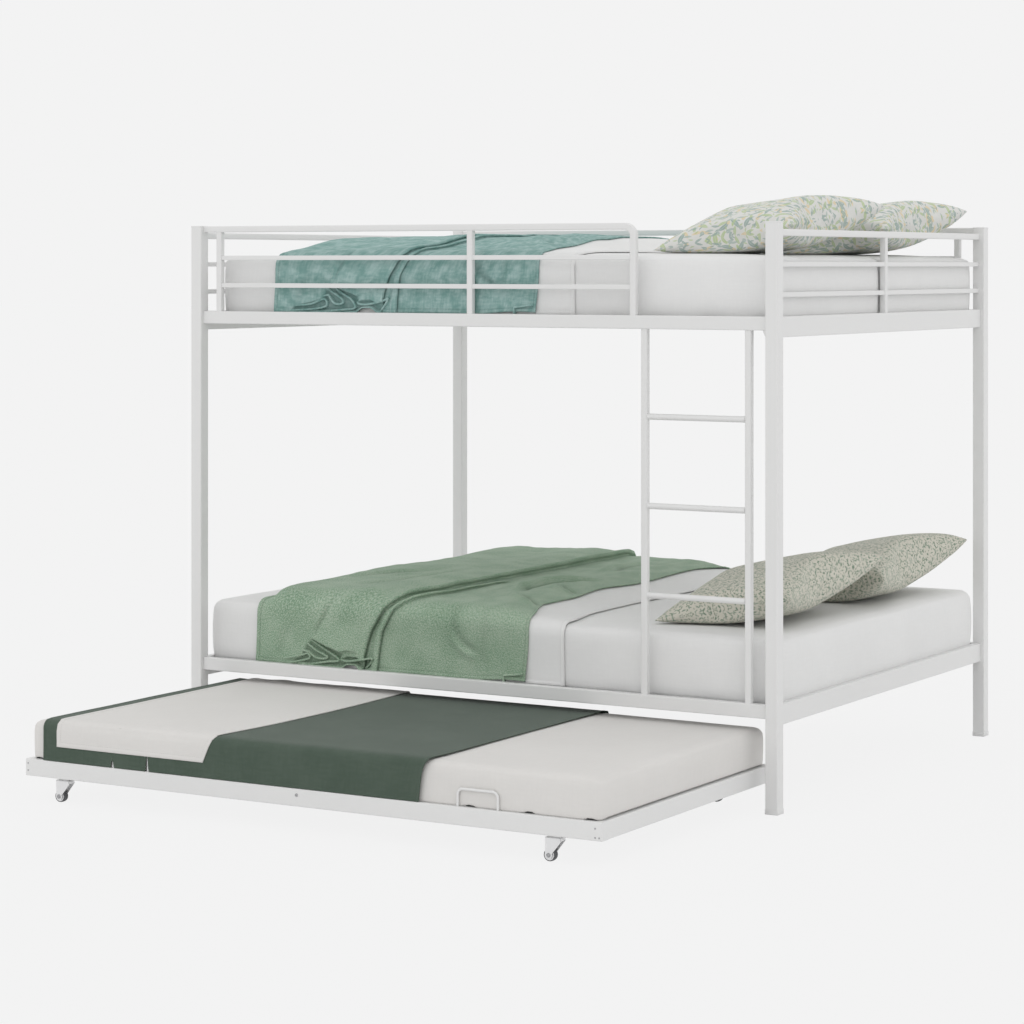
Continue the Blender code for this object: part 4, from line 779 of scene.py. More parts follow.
@dataclass
class Ladder:
    """Two uprights and three round rungs."""

    left: float = 1.645
    right: float = 1.984
    corner: float = 0.003
    rung: float = 0.009
    weld: float = 0.0022
    first: float = 0.6035
    pitch: float = 0.2628

    def build(self) -> None:
        """Build the ladder with a weld bead at each end of each rung."""
        y = BEDS.guard_setback + BEDS.tube / 2
        section = rounded_section(BEDS.tube, BEDS.tube, self.corner)
        bottom, top = BEDS.lower_rail_top, BEDS.upper_rail_top - BEDS.rail_height
        parts = Parts()
        for x in (self.left, self.right):
            parts.sweep([(x, y, bottom), (x, y, top)], section)
        low, high, wide = self.left + BEDS.tube / 2, self.right - BEDS.tube / 2, self.rung + self.weld
        rung = [(low, 0.001), (low, wide), (low + self.weld, self.rung), (high - self.weld, self.rung),
                (high, wide), (high, 0.001)]
        for step in range(3):
            parts.turned(rung, (0.0, y, self.first + step * self.pitch), 0)
        parts.piece("ladder_welded", WHITE_PAINT, BED, "ladder")


@dataclass
class BunkFrame:
    """Posts, rails and slats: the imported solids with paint, and the small parts on them."""

    slats: int = 13
    slat_width: float = 0.045
    slat_thickness: float = 0.015

    def caps_and_feet(self) -> None:
        """Build the cap on each post and the sleeve at its foot."""
        side, height = BEDS.post, BEDS.height
        rows = (("front", 0.0), ("back", BEDS.width - side))
        for (depth, y), (hand, x) in product(rows, (("left", 0.0), ("right", BEDS.length - side))):
            for name, node, grown, low, high, radius in (
                    ("post_cap", "", 0.0003, height - 0.004, height + 0.0012, 0.0016),
                    ("foot_sleeve", f"foot_{depth}_{hand}", 0.0008, 0.0, 0.015, 0.0015)):
                far = side + grown
                made = Parts().block((x - grown, y - grown, low), (x + far, y + far, high), radius)
                made.piece(f"{name}_{depth}_{hand}", FOOT_PLASTIC, BED, node)

    def decks(self) -> None:
        """Build each bunk's slats, their end caps and the beam under their middle."""
        inner, thickness = BEDS.rail_setback + BEDS.rail_depth, self.slat_thickness
        first, cap = inner + 0.030 + self.slat_width / 2, inner + 0.012
        for level, top in (("lower", BEDS.lower_rail_top), ("upper", BEDS.upper_rail_top)):
            names = [f"{level}_{part}" for part in ("slats", "slat_caps", "slat_beam")]
            slat_deck(names, "slat_deck_" + level, BED, np.linspace(first, BEDS.length - first, self.slats),
                      (cap, BEDS.width - cap),
                      top - BEDS.rail_height + BEDS.deck_rise - thickness / 2,
                      {"Width": self.slat_width, "Thickness": thickness, "Corner": 0.004,
                       "Length": BEDS.width - 2 * inner - 0.02},
                      {"Width": self.slat_width + 0.003, "Thickness": thickness + 0.001, "Corner": 0.002,
                       "Length": 0.023}, rounded_section(0.040, 0.014, 0.003))

    def gusset(self) -> None:
        """Build the little web under the upper rail by the right front post."""
        x, z = BEDS.length - BEDS.post, BEDS.upper_rail_top - BEDS.rail_height
        outline = [(x, z), (x - 0.013, z), (x - 0.012, z - 0.006), (x - 0.002, z - 0.026), (x, z - 0.027)]
        web = Parts().plate(outline, BEDS.rail_setback + 0.002, BEDS.rail_setback + 0.006)
        web.piece("rail_gusset", WHITE_PAINT, BED, sharp=25.0)

    def build(self) -> None:
        """Build and dress the whole frame."""
        paint(name for name in frame["nodes"]
              if name.startswith(("post_", "side_rail_", "end_rail_")) or "_bar_" in name)
        self.caps_and_feet()
        self.decks()
        self.gusset()


@dataclass
class Caster:
    """One swivel caster: plate, race, fork and wheel."""

    key: str
    x: float
    y: float
    plate_half: float = 0.0185
    trail: float = 0.022
    nose: float = 0.0145
    boss: float = 0.0105
    wheel_radius: float = 0.0175
    wheel_half: float = 0.010
    fork_half: float = 0.013
    fork_top: float = 0.0655

    def build(self) -> None:
        """Build the fixed plate, the swivelling fork and the wheel."""
        x, y, half = self.x, self.y, self.plate_half
        plate = Parts().block((x - half, y - half, 0.0678), (x + half, y + half, 0.0702), 0.0008)
        plate.turned([(0.0664, 0.001), (0.0664, 0.0105), (0.0672, 0.0125), (0.0679, 0.0125), (0.0679, 0.001)],
                     (x, y, 0.0), 2)
        plate.piece(f"caster_{self.key}_plate", ZINC, TRUNDLE)
        self.axle_heads()
        self.fork().piece(f"caster_{self.key}_pressed_fork", ZINC, "swivel_" + self.key,
                          f"caster_{self.key}_fork", sharp=30.0)
        self.wheel()

    def axle_heads(self) -> None:
        """Build the dished head at each end of the axle."""
        bolt = Parts()
        for sign in (-1, 1):
            base, head = (self.y + sign * (self.fork_half + out) for out in (-0.001, 0.0022))
            bolt.turned([(base, 0.0005), (base, 0.0064), (head - sign * 0.0008, 0.0064), (head, 0.0054),
                         (head - sign * 0.0010, 0.0040), (head, 0.0028), (head, 0.0005)],
                        (self.x - self.trail, 0.0, self.wheel_radius), 1, 20)
        bolt.piece(f"caster_{self.key}_axle_heads", STEEL, "swivel_" + self.key)

    def fork(self) -> Parts:
        """Return the pressed fork: two cheeks, a bridge, a race and the axle."""
        parts = Parts()
        hub, nose, top, wall = self.x - self.trail, self.x + self.nose, self.fork_top, 0.0020
        near, far = self.y - self.fork_half, self.y + self.fork_half
        outline = [(hub - self.boss, top), (nose, top), (nose + 0.001, top - 0.009)]
        outline += [(hub + self.boss * math.cos(a), self.wheel_radius + self.boss * math.sin(a))
                    for a in np.radians(np.linspace(22, -190, 14))]
        parts.plate(outline, near, near + wall).plate(outline, far, far - wall)
        parts.block((hub - self.boss, near, top - 0.0025), (nose + 0.0005, far, top), 0.001)
        parts.block((nose - 0.0015, near, top - 0.009), (nose + 0.0008, far, top), 0.0008)
        race = [(0.0645, 0.0005), (0.0645, 0.0135), (0.0656, 0.0135), (0.0665, 0.0115), (0.0665, 0.0005)]
        parts.turned(race, (self.x, self.y, 0.0), 2)
        return parts.turned([(near, 0.0004), (near, 0.0027), (far, 0.0027), (far, 0.0004)],
                            (hub, 0.0, self.wheel_radius), 1, 16)

    def wheel(self) -> None:
        """Build the grey tread and the bright hub set in it."""
        half, r, rim = self.wheel_half, self.wheel_radius, 0.0148
        centre = (self.x - self.trail, self.y, r)
        crown = [(half * math.sin(a), r - 0.002 + 0.002 * math.cos(a)) for a in np.linspace(-1.25, 1.25, 9)]
        tread = Parts().turned([(0.0008 - half, rim), *crown, (half - 0.0008, rim)], centre, 1, 40)
        tread.piece(f"caster_{self.key}_tread", GREY_TREAD, "wheel_" + self.key, f"caster_{self.key}_wheel")
        side = [(half - 0.0016, rim), (half - 0.0010, 0.0142), (half - 0.0010, 0.0032)]
        hub = Parts().turned([(-along, radius) for along, radius in side[::-1]] + side, centre, 1, 32)
        hub.piece(f"caster_{self.key}_hub", ZINC, "wheel_" + self.key)


@dataclass
class TrundleFrame:
    """The low frame on casters."""

    slats: int = 11
    caster_spacing: float = 1.654
    rail_depth: float = 0.038
    rail_height: float = 0.050
    loop_spacing: float = 1.171
    loop_width: float = 0.126
    loop_height: float = 0.052
    loop_rod: float = 0.0038
    loop_bend: float = 0.016

    @property
    def rails(self) -> tuple[tuple[str, float], ...]:
        """Return the name and the middle line's Y of each long rail."""
        half = self.rail_depth / 2
        return ("front", BEDS.trundle_front + half), ("back", BEDS.trundle_back - half)

    def deck(self) -> None:
        """Build the slats, their black caps and the beam."""
        front, back = BEDS.trundle_front, BEDS.trundle_back
        slat_deck(("trundle_slat_row", "trundle_slat_caps", "trundle_beam"), "trundle_slats", TRUNDLE,
                  np.linspace(BEDS.trundle_left + 0.0405, BEDS.trundle_right - 0.0405, self.slats),
                  (front + 0.0280, back - 0.0280), BEDS.trundle_top + 0.0028,
                  {"Width": 0.029, "Thickness": 0.0048, "Corner": 0.0015, "Length": back - front - 0.040},
                  {"Width": 0.030, "Thickness": 0.0050, "Corner": 0.0012, "Length": 0.020},
                  rounded_section(0.030, 0.0044, 0.001))

    def end_plates(self) -> None:
        """Close the open ends of the two long rails."""
        parts = Parts()
        left, right, z = BEDS.trundle_left, BEDS.trundle_right, BEDS.trundle_top - self.rail_height / 2
        section = rounded_section(self.rail_depth - 0.0004, self.rail_height - 0.0004, 0.0023)
        ends = ((left - 0.0003, left + 0.002), (right - 0.002, right + 0.0003))
        for (_, y), (low, high) in product(self.rails, ends):
            parts.sweep([(low, y, z), (high, y, z)], section)
        parts.piece("trundle_rail_plates", WHITE_PAINT, TRUNDLE)

    def loops(self) -> None:
        """Build the two bent rods that keep the mattress in place."""
        y, foot = BEDS.trundle_front + 0.0080, BEDS.trundle_top
        bend, half, top = self.loop_bend, self.loop_width / 2, foot + self.loop_height - self.loop_rod
        side_path = [(-half, foot)] + [(-half + bend * (1 - math.cos(a)), top - bend * (1 - math.sin(a)))
                                       for a in np.linspace(0, math.pi / 2, 8)]
        path = side_path + [(-x, z) for x, z in reversed(side_path)]
        for side, sign in (("left", -1), ("right", 1)):
            centre = BEDS.trundle_middle + sign * self.loop_spacing / 2
            rod = Parts().sweep([(centre + x, y, z) for x, z in path], round_section(self.loop_rod, 14))
            rod.piece(f"mattress_loop_{side}", WHITE_PAINT, TRUNDLE, f"trundle_loop_{side}")

    def screws(self) -> None:
        """Set the small screw heads and one bolt on the front and back rails."""
        left, right = BEDS.trundle_left, BEDS.trundle_right
        spots = [(right - 0.0195, 0.103), (right - 0.0195, 0.079), (right - 0.0075, 0.079),
                 (left + 0.0085, 0.107), (left + 0.0085, 0.086)]
        rows = (("front", BEDS.trundle_front, math.pi / 2), ("back", BEDS.trundle_back, -math.pi / 2))
        sizes = (("screws", spots, 0.0026, 0.0010), ("bolt", [(1.035, 0.102)], 0.0050, 0.0024))
        for (row, y, turn), (kind, places, radius, rise) in product(rows, sizes):
            seeds = seed_points([(x, y, z) for x, z in places])
            SCREWS.bake(f"trundle_{kind}_{row}", seeds, STEEL, TRUNDLE, Radius=radius, Rise=rise,
                        Turn=(turn, 0.0, 0.0))

    def build(self) -> None:
        """Build and dress the trundle's frame and its casters."""
        paint(name for name in frame["nodes"] if name.startswith(("trundle_rail_", "trundle_end_")))
        self.deck()
        self.end_plates()
        self.loops()
        self.screws()
        for (row, y), (side, sign) in product(self.rails, (("left", -1), ("right", 1))):
            Caster(f"{row}_{side}", BEDS.trundle_middle + sign * self.caster_spacing / 2, y).build()


# Mattresses


@dataclass
class Mattress:
    """A foam mattress in a fitted sheet, with rounded edges and soft, slightly swollen sides."""

    name: str
    node: str
    low: tuple[float, float, float]
    high: tuple[float, float, float]
    finish: Finish
    body: str
    edge: float = 0.030
    foot_edge: float = 0.014
    corner: float = 0.028
    crown: float = 0.006
    swell: float = 0.003
    end_swell: float = 0.012
    ruffle: float = 0.0012
    cell: float = 0.022
    seed: float = 1.0
    sag: float = 0.0
    slats: tuple[float, ...] = ()
    square_foot: bool = False

    def build(self) -> None:
        """Build the mattress from a box of small cells, rounded and swollen."""
        low, high = np.array(self.low), np.array(self.high)
        counts = np.maximum(6, np.round((high - low) / self.cell).astype(int))
        numbers: dict[tuple[int, ...], int] = {}
        faces = []
        for axis, (a, b) in enumerate(((1, 2), (0, 2), (0, 1))):
            for level, m, n in product((0, counts[axis]), range(counts[a]), range(counts[b])):
                ring = []
                for step in ((0, 0), (1, 0), (1, 1), (0, 1)):
                    key = [0, 0, 0]
                    key[axis], key[a], key[b] = level, m + step[0], n + step[1]
                    ring.append(numbers.setdefault(tuple(key), len(numbers)))
                outward = (level > 0) != (axis == 1)
                faces.append(ring if outward else [ring[0], *ring[:0:-1]])
        share, many = np.array(list(numbers)) / counts, 14
        share = np.where(counts < many, 0.5 - 0.5 * np.cos(np.pi * share), share)
        made = piece(self.name, self.shaped(low + share * (high - low)), faces, self.finish, self.body,
                     sharp=180.0)
        self.map_cloth(made)
        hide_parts(self.node)

    def shaped(self, points: Points) -> Points:
        """Return the box's points rounded, crowned, swollen and lightly ruffled."""
        low, high = np.array(self.low), np.array(self.high)
        radii = np.tile((self.corner, self.corner, self.edge), (len(points), 1))
        below = points[:, 2] < (low[2] + high[2]) / 2
        radii[below, 2] = self.foot_edge
        core = np.clip(points, low + radii, high - radii)
        away = (points - core) / radii
        if self.square_foot:
            away[below, 2] = 0.0
        length = np.linalg.norm(away, axis=1)[:, None]
        limit = np.abs(away).max(axis=1)[:, None]
        out = np.where(length > 1e-9, away / np.maximum(length, 1e-9) * limit, 0.0)
        shaped = core + out * radii
        u = (shaped - low) / (high - low)
        side = np.sqrt(np.sin(np.pi * np.clip(u[:, 2], 0, 1)))
        for axis in (0, 1):
            push = np.where(u[:, axis] < 0.5, -1.0, 1.0) * ease(np.abs(u[:, axis] - 0.5), 0.47, 0.5)
            shaped[:, axis] += push * (self.swell if axis else self.end_swell) * side
        top = ease(u[:, 2], 0.7, 1.0)
        dome = np.clip(1 - (2 * u[:, 0] - 1) ** 6, 0, 1) * np.clip(1 - (2 * u[:, 1] - 1) ** 4, 0, 1)
        shaped[:, 2] += top * self.crown * dome
        wave = ripples(shaped[:, 0] + shaped[:, 2], shaped[:, 1] - shaped[:, 2], 5.0, self.seed)
        shaped[:, 2] += top * self.ruffle * wave
        pull = ripples(shaped[:, 0] * 2.0 + shaped[:, 1] * 2.0, shaped[:, 2] * 0.6, 7.0, self.seed + 9)
        outer = ease(np.abs(u[:, 1] - 0.5), 0.46, 0.5)
        shaped[:, 1] += np.where(u[:, 1] < 0.5, -1, 1) * self.ruffle * pull * side * outer
        held = sum((np.exp(-((shaped[:, 0] - x) / 0.016) ** 4) for x in self.slats), np.zeros(len(u)))
        shaped[:, 2] -= self.sag * np.clip(1 - held, 0, 1) * ease(u[:, 2], 0.3, 0.0) * outer
        return shaped

    def map_cloth(self, made: bpy.types.Object) -> None:
        """Lay the sheet's threads over each side, in metres."""
        mesh = made.data
        layer = mesh.uv_layers.new(name="cloth")
        for face in mesh.polygons:
            axis = int(np.argmax(np.abs(face.normal)))
            a, b = [i for i in range(3) if i != axis]
            for loop in face.loop_indices:
                co = mesh.vertices[mesh.loops[loop].vertex_index].co
                layer.data[loop].uv = (co[a], co[b])


# Draped cloth


@dataclass
class CrossPath:
    """The line that cloth follows over a mattress from its front hem to its back hem."""

    front: float
    back: float
    top: float
    bend: float
    front_hem: float
    back_drop: float
    crown: float = 0.0

    @property
    def lengths(self) -> tuple[float, float, float, float, float]:
        """Return the lengths of the front drop, bend, top, bend and back drop."""
        arc = self.bend * math.pi / 2
        return (self.top - self.bend - self.front_hem, arc, self.back - self.front - 2 * self.bend, arc,
                self.back_drop)

    @property
    def total(self) -> float:
        """Return the whole length."""
        return sum(self.lengths)

    def at(self, t: Points) -> tuple[Points, Points, Points, Points]:
        """Return y, z and the outward direction at distances from the front hem."""
        first, second, third, fourth, _ = np.cumsum(self.lengths)
        turn = (np.clip(t, first, second) - first + np.clip(t, third, fourth) - third) / self.bend
        ny, nz = -np.cos(turn), np.sin(turn)
        y = self.front + self.bend * (1 + ny) + np.clip(t, second, third) - second
        z = self.top + self.bend * (nz - 1) + np.minimum(t - first, 0) - np.maximum(t - fourth, 0)
        z += self.crown * (1 - (2 * (y - self.front) / (self.back - self.front) - 1) ** 8)
        return y, z, ny, nz


def fine_steps(total: float, step: float, hem: float = 0.010) -> Points:
    """Return distances from 0 to a total, close together by both ends for the hems."""
    inner = np.linspace(hem * 2, total - hem * 2, max(4, int((total - 4 * hem) / step)))
    edge = np.array([0.0, 0.3, 0.6, 0.85, 1.0, 1.15, 1.5]) * hem
    return np.concatenate([edge, inner, total - edge[::-1]])


def thinned(*steps: Points) -> Points:
    """Return all the steps in order, without those that nearly coincide."""
    found, closest = np.unique(np.round(np.concatenate(steps), 4)), 0.0009
    return found[np.concatenate([[True], np.diff(found) > closest])]


@dataclass
class ClothPiece:
    """A flat cloth laid along a cross path: subclasses say where its edges run and how it lifts.

    Each point of the cloth has a distance s across it, a distance t along the path and an X.
    """

    name: str
    node: str
    finish: Finish
    body: str
    path: CrossPath
    start: float
    width: float
    thickness: float
    cut: tuple[float, float]
    rests_on: tuple[str, ...]
    column_step: float = 0.012
    row_step: float = 0.014
    hem: float = 0.012
    hem_rise: float = 0.0010
    low_step: float = 0.0
    front_limit: float = 0.0

    def lift(self, x: Points, t: Points, s: Points) -> Points:
        """Return how far the cloth's inner face stands off the path."""
        raise NotImplementedError

    def spread(self, s: Points, t: Points) -> Points:
        """Return each point's X."""
        raise NotImplementedError

    def hem_rise_at(self, x: Points) -> Points:
        """Return how far the front hem is drawn up at each X."""
        return np.zeros_like(x)

    def shade(self, x: Points, t: Points, s: Points) -> Points:
        """Return how deep in shade each point of the cloth lies."""
        return np.zeros_like(x)

    def extras(self, x: Points, t: Points, off: Points) -> list[Object]:
        """Return further pieces that belong to the cloth, laid over its offsets from the path."""
        return []

    def rows(self) -> Points:
        """Return the distances along the path at which the rows lie."""
        low = np.arange(self.hem, 0.115, self.low_step) if self.low_step else []
        return thinned(fine_steps(self.path.total, self.row_step, self.hem), low)

    def columns(self) -> Points:
        """Return the distances across the cloth at which its columns lie."""
        return fine_steps(self.width, self.column_step, self.hem)

    def build(self) -> None:
        """Build the cloth, its hems and its stitches."""
        across, down = self.columns(), self.rows()
        s, t = np.meshgrid(across, down, indexing="ij")
        x = self.spread(s, t)
        y, z, ny, nz = self.path.at(t + self.hem_rise_at(x) * np.clip(1 - t / self.path.lengths[0], 0, 1))
        rim = np.minimum.reduce([s, self.width - s, t, self.path.total - t])
        beside_share, groove_share = 0.15, 0.16
        groove = np.exp(-((rim - self.hem) / (self.hem * groove_share)) ** 2)
        raised = ease(rim, self.hem * (1 + beside_share), self.hem * (1 - beside_share)) - 0.7 * groove
        off = self.held_back(self.lift(x, t, s) + self.thickness + self.hem_rise * raised, ny)
        points = np.stack([x, y + ny * off, z + nz * off], -1)
        # The values from shade() are stored as painted shade, which darkens the cloth's colour in its creases
        # and folds.
        made = piece(self.name, points.reshape(-1, 3), grid_faces(*s.shape), self.finish, self.body,
                     uvs=np.stack([s, t], -1).reshape(-1, 2), sharp=180.0,
                     painted_shade=np.clip(self.shade(x, t, s), 0, 1))
        self.thicken(made)
        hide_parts(self.node)
        with_pieces = [self.stitches(points, across, down), *self.extras(x, t, off)]

    def held_back(self, off: Points, ny: Points) -> Points:
        """Return the offsets pressed smoothly under the front limit, where the cloth faces forward."""
        if not self.front_limit:
            return off
        free_share = 0.7
        soft, room = self.front_limit * free_share, self.front_limit * (1 - free_share)
        pressed = np.where(off > soft, soft + room * np.tanh((off - soft) / room), off)
        return off + (pressed - off) * ease(-ny, 0.2, 0.8)

    def thicken(self, made: Object) -> None:
        """Turn the faces away from the mattress and give the cloth its thickness on the inner side."""
        if made.data.polygons[len(made.data.polygons) // 2].normal.z < 0:
            made.data.flip_normals()
        wall = made.modifiers.new("thickness", "SOLIDIFY")
        wall.thickness = self.thickness
        wall.offset = -1.0
        settle(made)

    def stitches(self, points: Points, across: Points, down: Points) -> Object:
        """Sew a line of stitches just inside the front hem and both sides."""
        i, j = (int(np.argmin(np.abs(steps - self.hem))) for steps in (across, down))
        k = len(across) - 1 - i
        line = np.concatenate([points[i, j:][::-1], points[i:k, j], points[k, j:]])
        seeds = seed_points(line, [(n, n + 1) for n in range(len(line) - 1)])
        dull = tuple(c * 0.72 for c in self.finish.colour)
        thread = Coating(self.finish.name + "_thread", self.finish.slot, dull, 0.9, fine=200.0)
        return STITCHES.bake(self.name + "_stitches", seeds, thread, self.body, Pitch=0.0065, Thread=0.0005,
                             Stretch=3.6)


FOLD = np.array([
    (-0.055, -0.055, 0.60), (-0.030, -0.029, 0.84), (-0.012, -0.010, 0.99), (0.0, 0.002, 1.0),
    (0.008, 0.0082, 0.86), (0.015, 0.0090, 0.66), (0.022, 0.0050, 0.50), (0.032, -0.0040, 0.38),
    (0.042, -0.0100, 0.25), (0.050, -0.0060, 0.11), (0.060, 0.0050, 0.03), (0.075, 0.0210, 0.0),
    (0.090, 0.0380, 0.0)])


@dataclass
class Fold:
    """One fold laid over to the right: where its nose runs and how high it stands.

    Its cross-section is FOLD: places along the cloth, places on the bed and shares of the height.
    """

    at: float
    run: Pairs
    height: Pairs
    size: float
    shoulder: float = 0.13

    def place(self, s: Points) -> Points:
        """Return the places along FOLD's cloth."""
        return (s - self.at) / self.size

    def window(self) -> tuple[float, float]:
        """Return the cloth distances at which the fold starts and ends."""
        return self.at + FOLD[0, 0] * self.size, self.at + FOLD[-1, 0] * self.size

    def ends(self, t: Points) -> tuple[Points, Points]:
        """Return the X at which the fold starts and ends."""
        run = smooth_line(self.run, t)
        return run + FOLD[0, 1] * self.size, run + FOLD[-1, 1] * self.size

    def folded(self, s: Points, t: Points, flat: Points) -> Points:
        """Return X inside the fold, eased back to flat where it has no height."""
        bent = smooth_line(self.run, t) + self.size * smooth_line(FOLD[:, :2], self.place(s))
        return flat + (bent - flat) * ease(smooth_line(self.height, t), 0.0, 0.009)

    def rise(self, s: Points, t: Points) -> Points:
        """Return how far the fold lifts the cloth, with the slope that leads up to it."""
        p, first = self.place(s), FOLD[0, 0]
        slope = np.exp(-(np.clip(first - p, 0, None) * self.size / self.shoulder) ** 2)
        return smooth_line(self.height, t) * smooth_line(FOLD[:, ::2], p) * slope


def near_line(line: Sequence[Sequence[float]], x: Points, t: Points) -> tuple[Points, Points, Points, Points]:
    """Return each point's distance from a line, its side, its share along and its place on the steps."""
    best, side, share, place = (np.full_like(x, v) for v in (1e9, 1.0, 0.0, 0.0))
    points = np.asarray(line, float)
    for i, (a, b) in enumerate(zip(points, points[1:])):
        step, dx, dt = b - a, x - a[0], t - a[1]
        along = (dx * step[0] + dt * step[1]) / (step @ step)
        near = np.clip(along, 0, 1)
        far = np.hypot(dx - near * step[0], dt - near * step[1])
        closer = far < best
        best = np.where(closer, far, best)
        side = np.where(closer, np.sign(dx * step[1] - dt * step[0]), side)
        share = np.where(closer, (i + near) / (len(points) - 1), share)
        place = np.where(closer, along + i, place)
    return best, side, share, place


@dataclass
class Crease:
    """A soft ridge with a valley beside it, or an edge where one layer laps over another."""

    points: Pairs
    height: float
    width: float
    lap: bool = False

    def rise(self, x: Points, t: Points) -> Points:
        """Return how far the crease lifts the cloth."""
        far, side, share, place = near_line(self.points, x, t)
        if self.lap:
            taper = ease(share, 1.0, 0.7) * ease(place, -0.12, 0.06)
            value = np.where(side < 0, np.clip(1 - far / self.width, 0, 1) ** 0.8, 0.0)
            edge = 0.0022
            value = np.where(far < edge, np.maximum(value, 0.5 - side * far / edge / 2), value)
        else:
            taper = ease(share, 0.0, 0.25) * ease(share, 1.0, 0.6)
            valley = np.exp(-((far * side - 1.4 * self.width) / (self.width * 0.9)) ** 2)
            value = np.exp(-(far / self.width) ** 2) - 0.75 * valley
        return value * taper * self.height


@dataclass(kw_only=True)
class Throw(ClothPiece):
    """A throw over a duvet, with its long fold, bunched pleats at the hem and soft swells."""

    folds: list[Fold]
    creases: list[Crease]
    duvet: "Duvet"
    right_edge: Pairs
    hem_line: Pairs
    swell: float
    seed: float
    rims: Sequence[Triples]
    bunch: Pairs
    pleat_depth: float = 0.015
    fold_line: float = 0.062
    seam_shade: float = 0.28
    pit_shade: float = 0.50

    def columns(self) -> Points:
        """Return evenly spaced columns, closer together inside the folds and by the bunched hem."""
        windows, fine = [fold.window() for fold in self.folds], 0.0022
        inside = [np.linspace(low, high, max(16, int((high - low) / fine))) for low, high in windows]
        bunched = np.arange(0.06, 0.38, 0.005)
        return thinned(fine_steps(self.width, self.column_step, self.hem), bunched, *inside)

    def spread(self, s: Points, t: Points) -> Points:
        """Place the cloth between its edges, with less room where the folds take it up."""
        cuts = [(0.0, self.start)]
        for fold in self.folds:
            cuts += zip(fold.window(), fold.ends(t))
        cuts.append((self.width, smooth_line(self.right_edge, t)))
        x = np.zeros_like(t)
        for (s0, x0), (s1, x1) in zip(cuts, cuts[1:]):
            m = (s >= s0 - 1e-9) & (s <= s1 + 1e-9)
            x[m] = (x0 + (x1 - x0) * (s - s0) / (s1 - s0))[m]
        for fold in self.folds:
            low, high = fold.window()
            m = (s > low) & (s < high)
            x[m] = fold.folded(s, t, x)[m]
        return x

    def hem_rise_at(self, x: Points) -> Points:
        """Return how far the front hem is drawn up at each X."""
        return smooth_line(self.hem_line, x)

    def pit(self, x: Points, t: Points) -> Points:
        """Return 1 among the bunched layers of the hem and 0 elsewhere."""
        inside = np.zeros(np.shape(x), bool)
        for (x0, t0), (x1, t1) in zip(self.bunch, self.bunch[1:]):
            crossed = (t0 > t) != (t1 > t)
            inside ^= crossed & (x < x0 + (t - t0) * (x1 - x0) / (t1 - t0 if t1 != t0 else 1.0))
        return inside * ease(near_line(self.bunch, x, t)[0], 0.0, 0.005)

    def shade(self, x: Points, t: Points, s: Points) -> Points:
        """Darken the bunched hem's hollows, the hem's seam, the creases and the line under each fold."""
        rim = np.minimum.reduce([s, self.width - s, t])
        found = self.pit_shade * self.pit(x, t) + self.seam_shade * np.exp(-((rim - self.hem) / 0.0016) ** 2)
        a, arc, *_ = self.path.lengths
        line = 0.45 + 0.25 * ease(t, a + arc, a * 0.8)
        for fold in self.folds:
            tall = ease(smooth_line(fold.height, t), 0.002, 0.012)
            found += line * tall * np.exp(-((fold.place(s) - self.fold_line) / 0.0055) ** 2)
        for crease in self.creases:
            found += np.clip(-crease.rise(x, t) / crease.height, 0, 1) * min(0.9, crease.height / 0.014)
        return found

    def extras(self, x: Points, t: Points, off: Points) -> list[Object]:
        """Return the bunched layers of the hem, whose edges face the front."""
        parts = Parts()
        section = rounded_section(self.pleat_depth, self.thickness + 0.0030, 0.0031)
        low = t < 0.15
        under_x, under_t, under = x[low], t[low], off[low]
        for line in self.rims:
            keys = np.asarray(line)
            at = np.linspace(0, len(keys) - 1, len(keys) * 6)
            x, t, out = (smooth_line(list(enumerate(keys[:, k])), at) for k in range(3))
            near = [np.argmin((under_x - a) ** 2 + (under_t - b) ** 2) for a, b in zip(x, t)]
            floor = np.convolve(np.pad(under[near], 4, mode="edge"), np.full(9, 1 / 9), mode="valid")
            y = floor - self.pleat_depth / 2 + 0.0100 * out
            if self.front_limit:
                y = np.minimum(y, self.front_limit - 0.0065)
            parts.sweep(np.stack([x, self.path.front - y, self.path.front_hem + t], -1), section)
        uvs = np.concatenate(parts.verts)[:, [0, 2]]
        return [parts.piece(self.name + "_pleats", self.finish, self.body, uvs=uvs)]

    def lift(self, x: Points, t: Points, s: Points) -> Points:
        """Stand off the duvet by the folds, the swells and a little slack."""
        a, arc, flat, *_ = self.path.lengths
        on_top = ease(t, a, a + arc * 1.5) * ease(t, a + 2 * arc + flat, a + arc + flat)
        off = 0.0012 + self.duvet.thickness_at(x, t)
        for fold in self.folds:
            off += fold.rise(s, t)
        for crease in self.creases:
            off += crease.rise(x, t)
        fold_start = self.folds[0].window()[0]
        left = ease(s, fold_start, fold_start - 0.10)
        mound = 0.80 + 0.40 * ripples(x, t, 3.0, self.seed)
        edge = ease(x, self.start - 0.004, self.start + 0.080)
        off += self.swell * on_top * mound * edge * (0.14 + 0.86 * left)
        right = smooth_line(self.right_edge, t)
        loose = 0.12 + 0.88 * ease(x, right - 0.005, right - 0.09)
        off += loose * 0.0030 * (0.5 + 0.5 * on_top) * (1 + ripples(x, t, 9.0, self.seed + 4.0))
        off += loose * 0.0016 * (1 + ripples(x * 1.6, t * 0.7, 22.0, self.seed + 9.0))
        off += 0.0050 * ease(t, a * 0.7, 0.0) * (1 + ripples(x, t * 0.2, 8.0, self.seed + 6.0))
        return off * (1 - 0.45 * self.pit(x, t))


